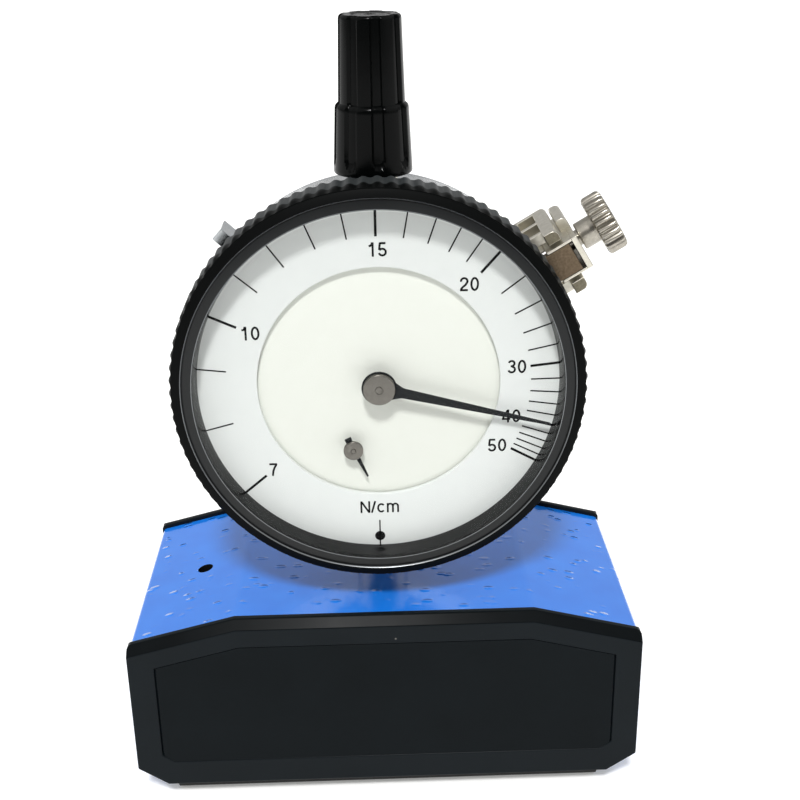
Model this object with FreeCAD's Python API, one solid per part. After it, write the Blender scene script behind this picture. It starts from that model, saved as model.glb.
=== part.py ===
"""Screen tension meter: a weighted base with two support bars and a sprung measuring bar,
carrying a dial gauge whose spindle stands on the measuring bar.

Millimetres. +X to the right, +Y away from the reader of the dial, +Z up.
Origin: centre of the base, on the surface that the support bars stand on.
"""

import FreeCAD, Part
import math
import os

from FreeCAD import Vector

os.makedirs("parts", exist_ok=True)

# Base: overall form
BASE_W = 75.6          # across the two vertical sides of an end plate
BASE_D = 40.6          # front face to rear face
CROWN_INSET = 15.9     # flat crown in from each vertical side
PLATE_BOTTOM_Z = 2.8
CORNER_Z = 5.8         # where the lower chamfer meets the vertical side
SHOULDER_Z = 26.9      # where the slope meets the vertical side
CROWN_Z = 30.9
BOTTOM_INSET = 4.4     # flat lower edge in from each vertical side

# Base: end plates and shell
PLATE_T = 2.25
PLATE_BEVEL = 1.3
RECESS_INSET = 2.9
RECESS_DEPTH = 0.5
INLAY_GROOVE = 0.25
INLAY_T = 0.45
SHELL_STEP = 0.35      # how far the shell lies below the plates' edge
SHELL_WALL = 2.2
SHELL_SHOULDER_R = 3.0
SHELL_CROWN_R = 5.0
SHELL_STEM_GAP = 0.3
SHELL_MIN_R = 0.3      # least radius of its inner bends
ACCESS_INSET = 9.6     # access hole in from the left vertical side
ACCESS_R = 1.2

# Base: bars and frame
BAR_W = 5.0
BAR_INSET = 5.4        # ends of the bars in from the vertical sides
BAR_TOP_Z = 15.0
BAR_EDGE_R = 1.2
BAR_PLATE_GAP = 0.05
PROBE_W = 5.0
PROBE_INSET = 7.8
PROBE_TOP_Z = 9.0
FRAME_T = 5.0
FRAME_SIDE_GAP = 0.1
COLLAR_SIDE = 13.0
COLLAR_SLIT = 1.2
COLLAR_TOP_GAP = 0.3   # collar to shell
COVER_T = 1.5
COVER_SLOT_GAP = 0.35

# Probe guides and springs
GUIDE_INSET = 17.8
GUIDE_R = 1.5
GUIDE_SINK = 4.0
RUN_GAP = 0.05         # running clearance, on the radius
BUSH_R = 3.0
BUSH_PROUD = 0.5
PROBE_DROP = 1.5       # how far the probe comes down when the meter is lifted
PIN_HEAD_R = 2.6       # across the corners
PIN_HEAD_GAP = 0.1
PIN_HEAD_T = 0.9
LEAF_T = 0.3
LEAF_W = 5.0
LEAF_CLAMP_INSET = 3.0 # outer end of a leaf spring, in from the vertical side
LEAF_FLAT = 1.5
LEAF_REACH = 11.8
COVER_EAR_W = 7.0
ANVIL_R = 3.0
ANVIL_T = 1.5
TRIM_R = 1.5
TRIM_GAP = 0.02
TRIM_BELOW = 1.2       # screw end below the frame
TRIM_ABOVE = 1.0
SOCKET_R = 0.8
SOCKET_DEPTH = 1.6

# Dial gauge: dial and bezel
DIAL_Y = -12.9         # front of the scale ring
DIAL_RISE = 33.5       # dial centre above the crown
BEZEL_RISE = 2.6       # edge of the bezel outside the case
BEZEL_FACE_IN = 1.1    # front face in from the edge
BEZEL_OPENING_IN = 1.0 # opening inside the case
BEZEL_DEPTH = 3.9      # bezel face in front of the scale ring
KNURL_FRONT = 1.8      # front of the knurled band, in front of the scale ring
KNURL_BACK = 3.0       # back of the knurled band, behind the scale ring
KNURL_COUNT = 96
KNURL_DEPTH = 0.5
KNURL_GROOVE_W = 0.6
SKIRT_RISE = 1.7       # skirt outside the case
SKIRT_L = 3.0
CRYSTAL_T = 0.9
CRYSTAL_SET_BACK = 0.4
KNURL_CORE_GAP = 0.1   # core of the knurled band below the bottoms of its grooves
SCALE_T = 0.6
SCALE_INNER_R = 17.0
SCALE_CASE_GAP = 0.12
DISC_UNDER = 1.4       # fixed disc under the scale ring
DISC_SIDES = 36        # its hidden edge has flat sides
DISC_T = 0.5
DISC_GAP = 0.2         # fixed disc behind the scale ring
DISC_FOOT_X = 13.0
DISC_FOOT_W = 2.0
DISC_HOLE_GAP = 0.3

# Dial gauge: case
CASE_R = 26.3
CASE_WALL = 1.7
CASE_BACK_Y = 5.2
CASE_BACK_T = 1.1
CASE_LUG_REACH = 2.5   # movement lugs in from the case's wall
CASE_LUG_W = 3.0
CASE_LUG_COUNT = 3
LUG_L = 5.0
BEZEL_BACK_GAP = 0.4   # bezel to lug and clamp foot
LUG_ANGLE = 137.0
LUG_RISE = 4.9         # top of the lug outside the case
LUG_W = 3.0

# Dial gauge: spindle, stem and cap
SPINDLE_R = 2.4
STEM_R = 4.0
STEM_SET = 1.5         # stem above the underside of its collar
NECK_R = 3.4
NECK_L = 8.0
GUIDE_INSIDE = 2.0     # stem and neck into the case
SPINDLE_ROOM = 7.1     # under the top of the cap
CONTACT_R = 2.0
CONTACT_L = 3.6
CONTACT_TIP_R = 0.7
CONTACT_GAP = 0.02
PIN_R = 0.5
PIN_SLOT_GAP = 0.08
PIN_SLOT_END = 1.0
PIN_DZ = 10.0          # guide pin above the dial's centre
PIN_SET_BACK = 0.2     # pin's end behind the plate's front
CAP_L = 21.4
CAP_SKIRT_L = 9.7
CAP_GAP = 1.0          # cap above the case
CAP_TOP_R = 4.3
CAP_WAIST_R = 4.65
CAP_SKIRT_TOP_R = 5.15
CAP_SKIRT_R = 5.55
CAP_SIDES = 24
CAP_CHAMFER = 0.5
CAP_ROOF_T = 2.0
CAP_SHOULDER = 0.6
FLUTE_LOW = 1.0        # from the cap's lower edge
FLUTE_COUNT = 8
FLUTE_W = 2.2
FLUTE_FLOOR_W = 1.1
FLUTE_DEPTH = 0.45
FLUTE_TURN = 9.0

# Dial gauge: movement
GEAR_MODULE = 0.2975
PINION_TEETH = 10
WHEEL_TEETH = 60
GEAR_ADDENDUM = 0.9    # shares of the module
PINION_DEDENDUM = 1.15
WHEEL_DEDENDUM = 1.7
RACK_PITCH = 0.5       # a turn of the counter arbor takes twelve teeth, six turns of the pointer
RACK_PINION_TEETH = 12
RACK_TEETH = 9
RACK_ADDENDUM = 0.13
RACK_DEDENDUM = 0.18
GEAR_PLAY = 0.03       # extra centre distance
PINION_TIP = 0.2       # shares of the pitch
PINION_ROOT = 0.66
RACK_PINION_TIP = 0.24
RACK_PINION_ROOT = 0.62
RACK_GAP_MOUTH = 0.39
RACK_GAP_FLOOR = 0.17
RACK_GAP_OPEN = 0.5    # gaps cut this far beyond the rack's tips
COUNTER_X = -3.84
BACK_PLATE_T = 1.0
BACK_PLATE_REAR_Y = -4.4
BRIDGE_T = 0.8
BRIDGE_GAP = 4.3       # between the two movement plates
BRIDGE_IN = 2.1        # front plate inside the case's bore
PILLAR_R = 1.2
PILLAR_IN = 3.7        # circle of the pillars inside the front plate's corners
PILLAR_ANGLES = (155.0, -25.0, 117.0)
WHEEL_T = 0.6
WHEEL_FRONT_GAP = 1.8  # wheels behind the front movement plate
ARBOR_R = 0.5
RACK_PINION_W = 2.6
COCK_T = 0.8
COCK_GAP = 0.4
COCK_W = 4.0
COCK_REACH = 6.5
COCK_END = 1.6
COCK_LEG = 2.5
PINION_OVER = 0.5      # centre pinion beyond each side of the wheels
WHEEL_RIM = 1.0
WHEEL_HUB_R = 1.8
WHEEL_SPOKES = 4
SPOKE_W = 1.4
SHAFT_GAP = 0.05
HAIR_TURNS = 3
HAIR_STEPS = 12        # flats in one turn of the hairspring
HAIR_BACK = 0.6        # behind the front movement plate
HAIR_W = 0.5
HAIR_CLEAR = 0.05
HAIR_STUD = 0.8
HAIR_PITCH = 0.55
HAIR_T = 0.14

# Pointers, as the photograph shows them at rest
POINTER_ANGLE = 102.9  # clockwise from the top
POINTER_TIP_GAP = 0.4  # tip to the bezel's opening
POINTER_T = 0.3
POINTER_RING_R = 2.45
POINTER_FLARE_W = 3.0
POINTER_FLARE_L = 1.0
POINTER_ROOT_W = 1.45
POINTER_TIP_W = 0.35
POINTER_GLASS_GAP = 0.35
HUB_R = 2.25
HUB_T = 0.7
COUNTER_ANGLE = 155.3
COUNTER_L = 4.7
COUNTER_HUB_R = 1.4
COUNTER_HUB_T = 0.8
COUNTER_ROOT_W = 0.7
COUNTER_TIP_W = 0.24
COUNTER_TAIL = 1.9
COUNTER_TAIL_W = 1.0
POINTER_STACK_GAP = 0.3

# Bezel clamp
CLAMP_ANGLE = 31.0
CLAMP_FRONT_Y = -8.6
CLAMP_BACK_Y = 4.4
BLOCK_W = 4.2
BLOCK_RISE = 1.0       # block outside the skirt
BLOCK_H = 3.4
SHOE_L = 1.7
SHOE_GAP = 0.3         # shoe to skirt at rest
SHEET_T = 0.4
YOKE_GAP = 0.45
YOKE_T = 0.9
YOKE_W = 8.2
YOKE_TAB_L = 7.5
SADDLE_T = 1.4
ARM_W = 1.65
ARM_GAP = 0.65
ARM_RISE = 3.5         # arms outside the case
ARM_T = 1.6
WEB_T = 0.9
WEB_COUNT = 3
CLAMP_SCREW_Y = -1.9
CLAMP_HEAD_R = 4.5
CLAMP_HEAD_T = 3.0
CLAMP_HEAD_RISE = 4.2  # head outside the block
CLAMP_NECK_R = 2.05
CLAMP_SHANK_R = 1.2
CLAMP_TEETH = 26
CLAMP_TOOTH = 0.35
CLAMP_LAND = 0.45      # share of the pitch
CLAMP_NECK_GAP = 0.35

# For cuts and for picking edges
CUT_OVER = 1.0         # how far a cut runs past its piece
NEAR = 0.01


# Values that follow from the sizes above
HALF_W = BASE_W / 2
FRONT_Y = -BASE_D / 2
REAR_Y = BASE_D / 2
BOTTOM_X = HALF_W - BOTTOM_INSET
BAR_X = HALF_W - BAR_INSET
PROBE_X = HALF_W - PROBE_INSET
GUIDE_X = HALF_W - GUIDE_INSET
LEAF_CLAMP_X = HALF_W - LEAF_CLAMP_INSET
LEAF_TIP_X = LEAF_CLAMP_X - LEAF_REACH
ACCESS_X = ACCESS_INSET - HALF_W
DIAL_Z = CROWN_Z + DIAL_RISE
BEZEL_R = CASE_R + BEZEL_RISE
BEZEL_FACE_R = BEZEL_R - BEZEL_FACE_IN
BEZEL_OPENING_R = CASE_R - BEZEL_OPENING_IN
SKIRT_R = CASE_R + SKIRT_RISE
DISC_R = SCALE_INNER_R + DISC_UNDER
POINTER_L = BEZEL_OPENING_R - POINTER_TIP_GAP
LUG_TOP_R = CASE_R + LUG_RISE
SHELL_FRONT_Y = FRONT_Y + PLATE_T
SHELL_REAR_Y = REAR_Y - PLATE_T
FRAME_TOP_Z = BAR_TOP_Z + FRAME_T
STEM_BOTTOM_Z = FRAME_TOP_Z + STEM_SET
ANVIL_TOP_Z = PROBE_TOP_Z + ANVIL_T
CONTACT_BOTTOM_Z = ANVIL_TOP_Z + CONTACT_GAP
SPINDLE_BOTTOM_Z = CONTACT_BOTTOM_Z + CONTACT_L
BEZEL_FRONT_Y = DIAL_Y - BEZEL_DEPTH
BEZEL_BORE_R = CASE_R + RUN_GAP
KNURL_FRONT_Y = DIAL_Y - KNURL_FRONT
KNURL_BACK_Y = DIAL_Y + KNURL_BACK
SKIRT_BACK_Y = KNURL_BACK_Y + SKIRT_L
SCALE_BACK_Y = DIAL_Y + SCALE_T
CASE_FRONT_Y = SCALE_BACK_Y + SCALE_CASE_GAP
CASE_INNER_R = CASE_R - CASE_WALL
BRIDGE_R = CASE_INNER_R - BRIDGE_IN
PILLAR_CIRCLE_R = BRIDGE_R - PILLAR_IN
BLOCK_INNER_R = SKIRT_R + BLOCK_RISE
BLOCK_OUTER_R = BLOCK_INNER_R + BLOCK_H
ARM_INNER_R = CASE_R + ARM_RISE
ARM_OUTER_R = ARM_INNER_R + ARM_T
CLAMP_HEAD_FROM = BLOCK_OUTER_R + CLAMP_HEAD_RISE
CAP_BOTTOM_Z = DIAL_Z + CASE_R + CAP_GAP
CAP_STEP_Z = CAP_BOTTOM_Z + CAP_SKIRT_L
CAP_TOP_Z = CAP_BOTTOM_Z + CAP_L
SPINDLE_TOP_Z = CAP_TOP_Z - SPINDLE_ROOM
BACK_PLATE_Y = BACK_PLATE_REAR_Y - BACK_PLATE_T
BRIDGE_BACK_Y = BACK_PLATE_Y - BRIDGE_GAP
BRIDGE_Y = BRIDGE_BACK_Y - BRIDGE_T
DISC_Y = SCALE_BACK_Y + DISC_GAP
DISC_BACK_Y = DISC_Y + DISC_T
WHEEL_Y = BRIDGE_BACK_Y + WHEEL_FRONT_GAP
WHEEL_PITCH_R = GEAR_MODULE * WHEEL_TEETH / 2
PINION_PITCH_R = GEAR_MODULE * PINION_TEETH / 2
CENTRE_DISTANCE = WHEEL_PITCH_R + PINION_PITCH_R + GEAR_PLAY
RACK_PINION_R = RACK_PITCH * RACK_PINION_TEETH / (2 * math.pi)
RACK_LINE_X = COUNTER_X + RACK_PINION_R + GEAR_PLAY
COUNTER_DZ = -math.sqrt(CENTRE_DISTANCE**2 - COUNTER_X**2)
COUNTER_DIR = math.degrees(math.atan2(COUNTER_DZ, COUNTER_X))
PINION_STEP = 360 / PINION_TEETH
HAIR_DIR = COUNTER_DIR + PINION_TEETH // 2 * PINION_STEP
HAIR_X = CENTRE_DISTANCE * math.cos(math.radians(HAIR_DIR))
HAIR_DZ = CENTRE_DISTANCE * math.sin(math.radians(HAIR_DIR))
CRYSTAL_FRONT_Y = BEZEL_FRONT_Y + CRYSTAL_SET_BACK
CRYSTAL_BACK_Y = CRYSTAL_FRONT_Y + CRYSTAL_T
HUB_FRONT_Y = CRYSTAL_BACK_Y + POINTER_GLASS_GAP
POINTER_Y = HUB_FRONT_Y + HUB_T
COUNTER_HUB_Y = POINTER_Y + POINTER_T + POINTER_STACK_GAP


def save(node, shape):
    shape.exportStep("parts/" + node + ".step")


def box(x0, x1, y0, y1, z0, z1):
    return Part.makeBox(x1 - x0, y1 - y0, z1 - z0, Vector(x0, y0, z0))


def rod_z(radius, z0, z1, x=0.0, y=0.0):
    return Part.makeCylinder(radius, z1 - z0, Vector(x, y, z0), Vector(0, 0, 1))


def rod_y(radius, y0, y1, x=0.0, z=0.0):
    return Part.makeCylinder(radius, y1 - y0, Vector(x, y0, z), Vector(0, 1, 0))


def rod_x(radius, x0, x1, y=0.0, z=0.0):
    return Part.makeCylinder(radius, x1 - x0, Vector(x0, y, z), Vector(1, 0, 0))


def join(shapes):
    shapes = list(shapes)
    return shapes[0].fuse(shapes[1:]).removeSplitter() if len(shapes) > 1 else shapes[0]


def at_dial(x, dz):
    """A place on the dial, from its centre."""
    return x, DIAL_Z + dz


def extrude_xz(wire_or_points, y0, y1):
    """Prism along Y over an outline in the XZ plane."""
    wire = wire_or_points
    if isinstance(wire, list):
        ring = [Vector(x, 0, z) for x, z in wire]
        wire = Part.makePolygon(ring + ring[:1])
    face = Part.Face(wire)
    face.translate(Vector(0, y0, 0))
    return face.extrude(Vector(0, y1 - y0, 0))


def revolve(points, axis_point, axis):
    """Solid of revolution from a closed outline of vectors."""
    return Part.Face(Part.makePolygon(points + points[:1])).revolve(axis_point, axis, 360)


def revolve_dial(outline):
    """Solid of revolution about the dial's axis, from (radius, y) points."""
    points = [Vector(r, y, DIAL_Z) for r, y in outline]
    return revolve(points, Vector(0, 0, DIAL_Z), Vector(0, 1, 0))


def revolve_z(outline, x=0.0, y=0.0):
    """Solid of revolution about a vertical axis, from (radius, z) points."""
    points = [Vector(x + r, y, z) for r, z in outline]
    return revolve(points, Vector(x, y, 0), Vector(0, 0, 1))


def inset(points, distance):
    """A convex outline, given clockwise, moved inward by a distance."""
    lines = []
    for (x0, z0), (x1, z1) in zip(points, points[1:] + points[:1]):
        length = math.hypot(x1 - x0, z1 - z0)
        ux, uz = (x1 - x0) / length, (z1 - z0) / length
        lines.append((x0 + uz * distance, z0 - ux * distance, ux, uz))
    moved = []
    for (ax, az, au, av), (bx, bz, bu, bv) in zip(lines[-1:] + lines[:-1], lines):
        along = ((bx - ax) * bv - (bz - az) * bu) / (au * bv - av * bu)
        moved.append((ax + au * along, az + av * along))
    return moved


def rounded(points, radii):
    """Closed wire in the XZ plane with an arc at each corner that has a radius."""
    corners = []
    count = len(points)
    for i, radius in enumerate(radii):
        here = Vector(points[i][0], 0, points[i][1])
        before = Vector(points[i - 1][0], 0, points[i - 1][1])
        after = Vector(points[(i + 1) % count][0], 0, points[(i + 1) % count][1])
        if not radius:
            corners.append((here, None, here))
            continue
        back = (before - here).normalize()
        ahead = (after - here).normalize()
        half = back.getAngle(ahead) / 2
        reach = radius / math.tan(half)
        middle = (back + ahead).normalize() * (radius / math.sin(half) - radius)
        corners.append((here + back * reach, here + middle, here + ahead * reach))
    edges = []
    for i, (start, middle, end) in enumerate(corners):
        if middle:
            edges.append(Part.Arc(start, middle, end).toShape())
        edges.append(Part.LineSegment(end, corners[(i + 1) % count][0]).toShape())
    return Part.Wire(edges)


def toothed(teeth, tip_r, root_r, tip_share, root_share, turn=0.0):
    """Outline of straight-flanked teeth about the origin; turn places the first tooth.

    The shares are those of the pitch. A root share of 1 makes each gap a V, and a tip share
    of 0 makes each tooth pointed.
    """
    step = 2 * math.pi / teeth
    outline = []
    for i in range(teeth):
        middle = math.radians(turn) + i * step
        corners = [(root_r, -root_share)] if root_share < 1 else []
        corners += [(tip_r, -tip_share)] if tip_share else []
        corners += [(tip_r, tip_share), (root_r, root_share)]
        for radius, share in corners:
            angle = middle + share * step / 2
            outline.append((radius * math.cos(angle), radius * math.sin(angle)))
    return outline


def prism_y(outline, y0, y1, x=0.0, z=0.0):
    """Prism along Y over an outline given about its own centre."""
    return extrude_xz([(x + px, z + pz) for px, pz in outline], y0, y1)


def polygon(sides, radius, turn=0.0):
    """Corners of a regular polygon about the origin."""
    return toothed(sides, radius, radius, 0, 1, turn)[::2]


# Base

def plate_outline():
    """Front view of an end plate, clockwise from its lower left."""
    half, low, top = HALF_W, BOTTOM_X, HALF_W - CROWN_INSET
    return [(-low, PLATE_BOTTOM_Z), (-half, CORNER_Z), (-half, SHOULDER_Z), (-top, CROWN_Z),
            (top, CROWN_Z), (half, SHOULDER_Z), (half, CORNER_Z), (low, PLATE_BOTTOM_Z)]


def inlay_outline():
    return inset(plate_outline(), RECESS_INSET + PLATE_BEVEL)


def end_plate():
    plate = extrude_xz(plate_outline(), FRONT_Y, FRONT_Y + PLATE_T)
    top_edges = [e for e in plate.Edges
                 if all(abs(v.Y - FRONT_Y) < NEAR and v.Z > SHOULDER_Z - NEAR for v in e.Vertexes)]
    plate = plate.makeChamfer(PLATE_BEVEL, top_edges)
    recess = extrude_xz(inset(inlay_outline(), -INLAY_GROOVE), FRONT_Y, FRONT_Y + RECESS_DEPTH)
    return plate.cut(recess)


def turned_about(shape):
    """A copy turned half a turn about the vertical axis."""
    copy = shape.copy()
    copy.rotate(Vector(0, 0, 0), Vector(0, 0, 1), 180)
    return copy


def panel_inlay():
    return extrude_xz(inlay_outline(), FRONT_Y + RECESS_DEPTH - INLAY_T, FRONT_Y + RECESS_DEPTH)


def shell_outline(depth):
    return inset(plate_outline(), SHELL_STEP + depth)


def housing_shell():
    outer = shell_outline(0)
    inner = shell_outline(SHELL_WALL)
    # the walls run straight down to the cover, with no lower chamfer
    foot = PLATE_BOTTOM_Z + COVER_T
    outer = [(outer[1][0], foot)] + outer[2:6] + [(outer[6][0], foot)]
    inner = [(inner[1][0], 0.0)] + inner[2:6] + [(inner[6][0], 0.0)]
    shoulder, crown = SHELL_SHOULDER_R, SHELL_CROWN_R
    skin = extrude_xz(rounded(outer, [0, shoulder, crown, crown, shoulder, 0]),
                      SHELL_FRONT_Y, SHELL_REAR_Y)
    inner_shoulder = max(shoulder - SHELL_WALL, SHELL_MIN_R)
    inner_crown = max(crown - SHELL_WALL, SHELL_MIN_R)
    room = extrude_xz(rounded(inner, [0, inner_shoulder, inner_crown, inner_crown,
                                      inner_shoulder, 0]),
                      SHELL_FRONT_Y - CUT_OVER, SHELL_REAR_Y + CUT_OVER)
    shell = skin.cut(room)
    shell = shell.cut(rod_z(STEM_R + SHELL_STEM_GAP, FRAME_TOP_Z, CROWN_Z + CUT_OVER))
    return shell.cut(rod_z(ACCESS_R, FRAME_TOP_Z, CROWN_Z + CUT_OVER, ACCESS_X))


def support_bar():
    """Front bar: flat foot with rounded edges, seated against the frame above."""
    y0 = SHELL_FRONT_Y + BAR_PLATE_GAP
    bar = box(-BAR_X, BAR_X, y0, y0 + BAR_W, 0, BAR_TOP_Z)
    foot_edges = [e for e in bar.Edges if all(v.Z < NEAR for v in e.Vertexes)
                  and abs(e.Vertexes[0].Y - e.Vertexes[1].Y) < NEAR]
    return bar.makeFillet(BAR_EDGE_R, foot_edges)


def base_frame():
    """Cross plate that carries the bars, the guide bushes and the stem collar."""
    half = HALF_W - SHELL_STEP - SHELL_WALL - FRAME_SIDE_GAP
    frame = box(-half, half, SHELL_FRONT_Y, SHELL_REAR_Y, BAR_TOP_Z, FRAME_TOP_Z)
    for x in (-GUIDE_X, GUIDE_X):
        frame = frame.cut(rod_z(BUSH_R, BAR_TOP_Z, FRAME_TOP_Z, x))
    frame = frame.cut(rod_z(STEM_R, BAR_TOP_Z, FRAME_TOP_Z))
    return frame.cut(rod_z(TRIM_R, BAR_TOP_Z, FRAME_TOP_Z, ACCESS_X))


def bottom_cover():
    """Folded sheet between the support bars, slotted for the measuring bar, with four ears."""
    inner = SHELL_FRONT_Y + BAR_PLATE_GAP + BAR_W + FRAME_SIDE_GAP
    z0 = PLATE_BOTTOM_Z
    cover = box(-BOTTOM_X, BOTTOM_X, inner, -inner, z0, z0 + COVER_T)
    slot_x = PROBE_X + COVER_SLOT_GAP
    slot_y = PROBE_W / 2 + COVER_SLOT_GAP
    cover = cover.cut(box(-slot_x, slot_x, -slot_y, slot_y, z0, z0 + COVER_T))
    ears = []
    for side in (-1, 1):
        x0, x1 = sorted((side * BOTTOM_X, side * (BOTTOM_X - COVER_T)))
        ears.append(box(x0, x1, inner, inner + COVER_EAR_W, z0, BAR_TOP_Z))
        ears.append(box(x0, x1, -inner - COVER_EAR_W, -inner, z0, BAR_TOP_Z))
    return join([cover] + ears)


def measuring_bar():
    """Sprung bar with a round lower edge that rests on the mesh."""
    radius = PROBE_W / 2
    bar = join([box(-PROBE_X, PROBE_X, -radius, radius, radius, PROBE_TOP_Z),
                rod_x(radius, -PROBE_X, PROBE_X, 0, radius)])
    for x in (-GUIDE_X, GUIDE_X):
        bar = bar.cut(rod_z(GUIDE_R, PROBE_TOP_Z - GUIDE_SINK, PROBE_TOP_Z, x))
    return bar


def guide_pins():
    """Headed pins pressed into the measuring bar; the heads stop it as it comes down."""
    low = PROBE_TOP_Z - GUIDE_SINK
    stop = FRAME_TOP_Z + BUSH_PROUD + PROBE_DROP + PIN_HEAD_GAP
    pins = []
    for x in (-GUIDE_X, GUIDE_X):
        ring = [Vector(x + px, py, stop) for px, py in polygon(6, PIN_HEAD_R)]
        head = Part.Face(Part.makePolygon(ring + ring[:1])).extrude(Vector(0, 0, PIN_HEAD_T))
        pins.append(join([rod_z(GUIDE_R, low, stop, x), head]))
    return pins


def guide_bush(x):
    z0, z1 = BAR_TOP_Z - BUSH_PROUD, FRAME_TOP_Z + BUSH_PROUD
    return rod_z(BUSH_R, z0, z1, x).cut(rod_z(GUIDE_R + RUN_GAP, z0, z1, x))


def leaf_radius(thickness_side):
    """Radius of the two equal arcs of a leaf, for its upper or its lower face."""
    run = LEAF_CLAMP_X - LEAF_FLAT - LEAF_TIP_X - LEAF_FLAT
    drop = BAR_TOP_Z - PROBE_TOP_Z - LEAF_T
    return (run * run + drop * drop) / (4 * drop) + thickness_side * LEAF_T / 2


def leaf_spring(side):
    """Leaf spring: flat under the frame, an S down to the measuring bar, flat on the bar."""
    run = LEAF_CLAMP_X - LEAF_FLAT - LEAF_TIP_X - LEAF_FLAT
    x0, x2 = LEAF_CLAMP_X - LEAF_FLAT, LEAF_TIP_X + LEAF_FLAT
    x1 = (x0 + x2) / 2
    z0, z2 = BAR_TOP_Z - LEAF_T / 2, PROBE_TOP_Z + LEAF_T / 2
    z1 = (z0 + z2) / 2
    swing = math.asin(run / 2 / leaf_radius(0))
    edges = []
    faces = []
    for face in (1, -1):
        upper_r, lower_r = leaf_radius(face), leaf_radius(-face)
        upper_c, lower_c = z0 - leaf_radius(0), z2 + leaf_radius(0)
        shift = face * LEAF_T / 2
        joint = Vector(x1 + shift * -math.sin(swing), 0, z1 + shift * math.cos(swing))
        bend = swing / 2
        upper_mid = Vector(x0 - upper_r * math.sin(bend), 0, upper_c + upper_r * math.cos(bend))
        lower_mid = Vector(x2 + lower_r * math.sin(bend), 0, lower_c - lower_r * math.cos(bend))
        points = [Vector(LEAF_CLAMP_X, 0, z0 + shift), Vector(x0, 0, z0 + shift),
                  Vector(x2, 0, z2 + shift), Vector(LEAF_TIP_X, 0, z2 + shift)]
        edges.append(Part.LineSegment(points[0], points[1]).toShape())
        edges.append(Part.Arc(points[1], upper_mid, joint).toShape())
        edges.append(Part.Arc(joint, lower_mid, points[2]).toShape())
        edges.append(Part.LineSegment(points[2], points[3]).toShape())
        faces.append(points)
    for end in (0, 3):
        edges.append(Part.LineSegment(faces[0][end], faces[1][end]).toShape())
    leaf = extrude_xz(Part.Wire(Part.sortEdges(edges)[0]), -LEAF_W / 2, LEAF_W / 2)
    return leaf if side > 0 else turned_about(leaf)


def anvil():
    return rod_z(ANVIL_R, PROBE_TOP_Z, ANVIL_TOP_Z)


def trim_screw():
    """Socket screw under the access hole, over the left leaf spring that it trims."""
    high = FRAME_TOP_Z + TRIM_ABOVE
    body = rod_z(TRIM_R - TRIM_GAP, BAR_TOP_Z - TRIM_BELOW, high, ACCESS_X)
    ring = [Vector(ACCESS_X + x, y, high - SOCKET_DEPTH) for x, y in polygon(6, SOCKET_R)]
    socket = Part.Face(Part.makePolygon(ring + ring[:1])).extrude(Vector(0, 0, SOCKET_DEPTH))
    return body.cut(socket)


def stem_collar():
    """Split block on the frame that grips the gauge's stem."""
    z0, z1 = FRAME_TOP_Z, CROWN_Z - SHELL_STEP - SHELL_WALL - COLLAR_TOP_GAP
    half = COLLAR_SIDE / 2
    block = box(-half, half, -half, half, z0, z1).cut(rod_z(STEM_R, z0, z1))
    return block.cut(box(0, half, -COLLAR_SLIT / 2, COLLAR_SLIT / 2, z0, z1))


# Dial gauge

def bezel():
    """Turned ring that holds crystal and scale ring, with a coarse knurl of narrow grooves."""
    face, front = BEZEL_FRONT_Y, KNURL_FRONT_Y
    root = BEZEL_R - KNURL_DEPTH
    core = root - KNURL_CORE_GAP
    outline = [
        (core, KNURL_BACK_Y), (core, front), (BEZEL_FACE_R, face), (BEZEL_OPENING_R, face),
        (BEZEL_OPENING_R, DIAL_Y), (BEZEL_BORE_R, DIAL_Y),
        (BEZEL_BORE_R, SKIRT_BACK_Y), (SKIRT_R, SKIRT_BACK_Y), (SKIRT_R, KNURL_BACK_Y),
    ]
    land = 1 - KNURL_GROOVE_W * KNURL_COUNT / (2 * math.pi * BEZEL_R)
    teeth = toothed(KNURL_COUNT, BEZEL_R, root, land, 1)
    band = prism_y(teeth, front, KNURL_BACK_Y, 0, DIAL_Z)
    band = band.cut(rod_y(BEZEL_FACE_R, front, KNURL_BACK_Y, 0, DIAL_Z))
    return join([revolve_dial(outline), band])


def crystal():
    return rod_y(BEZEL_OPENING_R, CRYSTAL_FRONT_Y, CRYSTAL_BACK_Y, 0, DIAL_Z)


def scale_ring():
    ring = rod_y(BEZEL_BORE_R, DIAL_Y, SCALE_BACK_Y, 0, DIAL_Z)
    return ring.cut(rod_y(SCALE_INNER_R, DIAL_Y, SCALE_BACK_Y, 0, DIAL_Z))


def dial_disc():
    """Fixed inner dial on two feet that stand on the front movement plate."""
    disc = prism_y(polygon(DISC_SIDES, DISC_R), DISC_Y, DISC_BACK_Y, 0, DIAL_Z)
    half = DISC_FOOT_W / 2
    feet = [box(x - half, x + half, DISC_BACK_Y, BRIDGE_Y, DIAL_Z - half, DIAL_Z + half)
            for x in (-DISC_FOOT_X, DISC_FOOT_X)]
    disc = join([disc] + feet)
    for x, z in (at_dial(0, 0), at_dial(COUNTER_X, COUNTER_DZ)):
        disc = disc.cut(rod_y(ARBOR_R + DISC_HOLE_GAP, DISC_Y, DISC_BACK_Y, x, z))
    return disc


def at_angle(shape, angle):
    """A shape built along X from the origin, turned up by an angle about the dial's centre."""
    shape.rotate(Vector(0, 0, 0), Vector(0, 1, 0), -angle)
    shape.translate(Vector(0, 0, DIAL_Z))
    return shape


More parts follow.
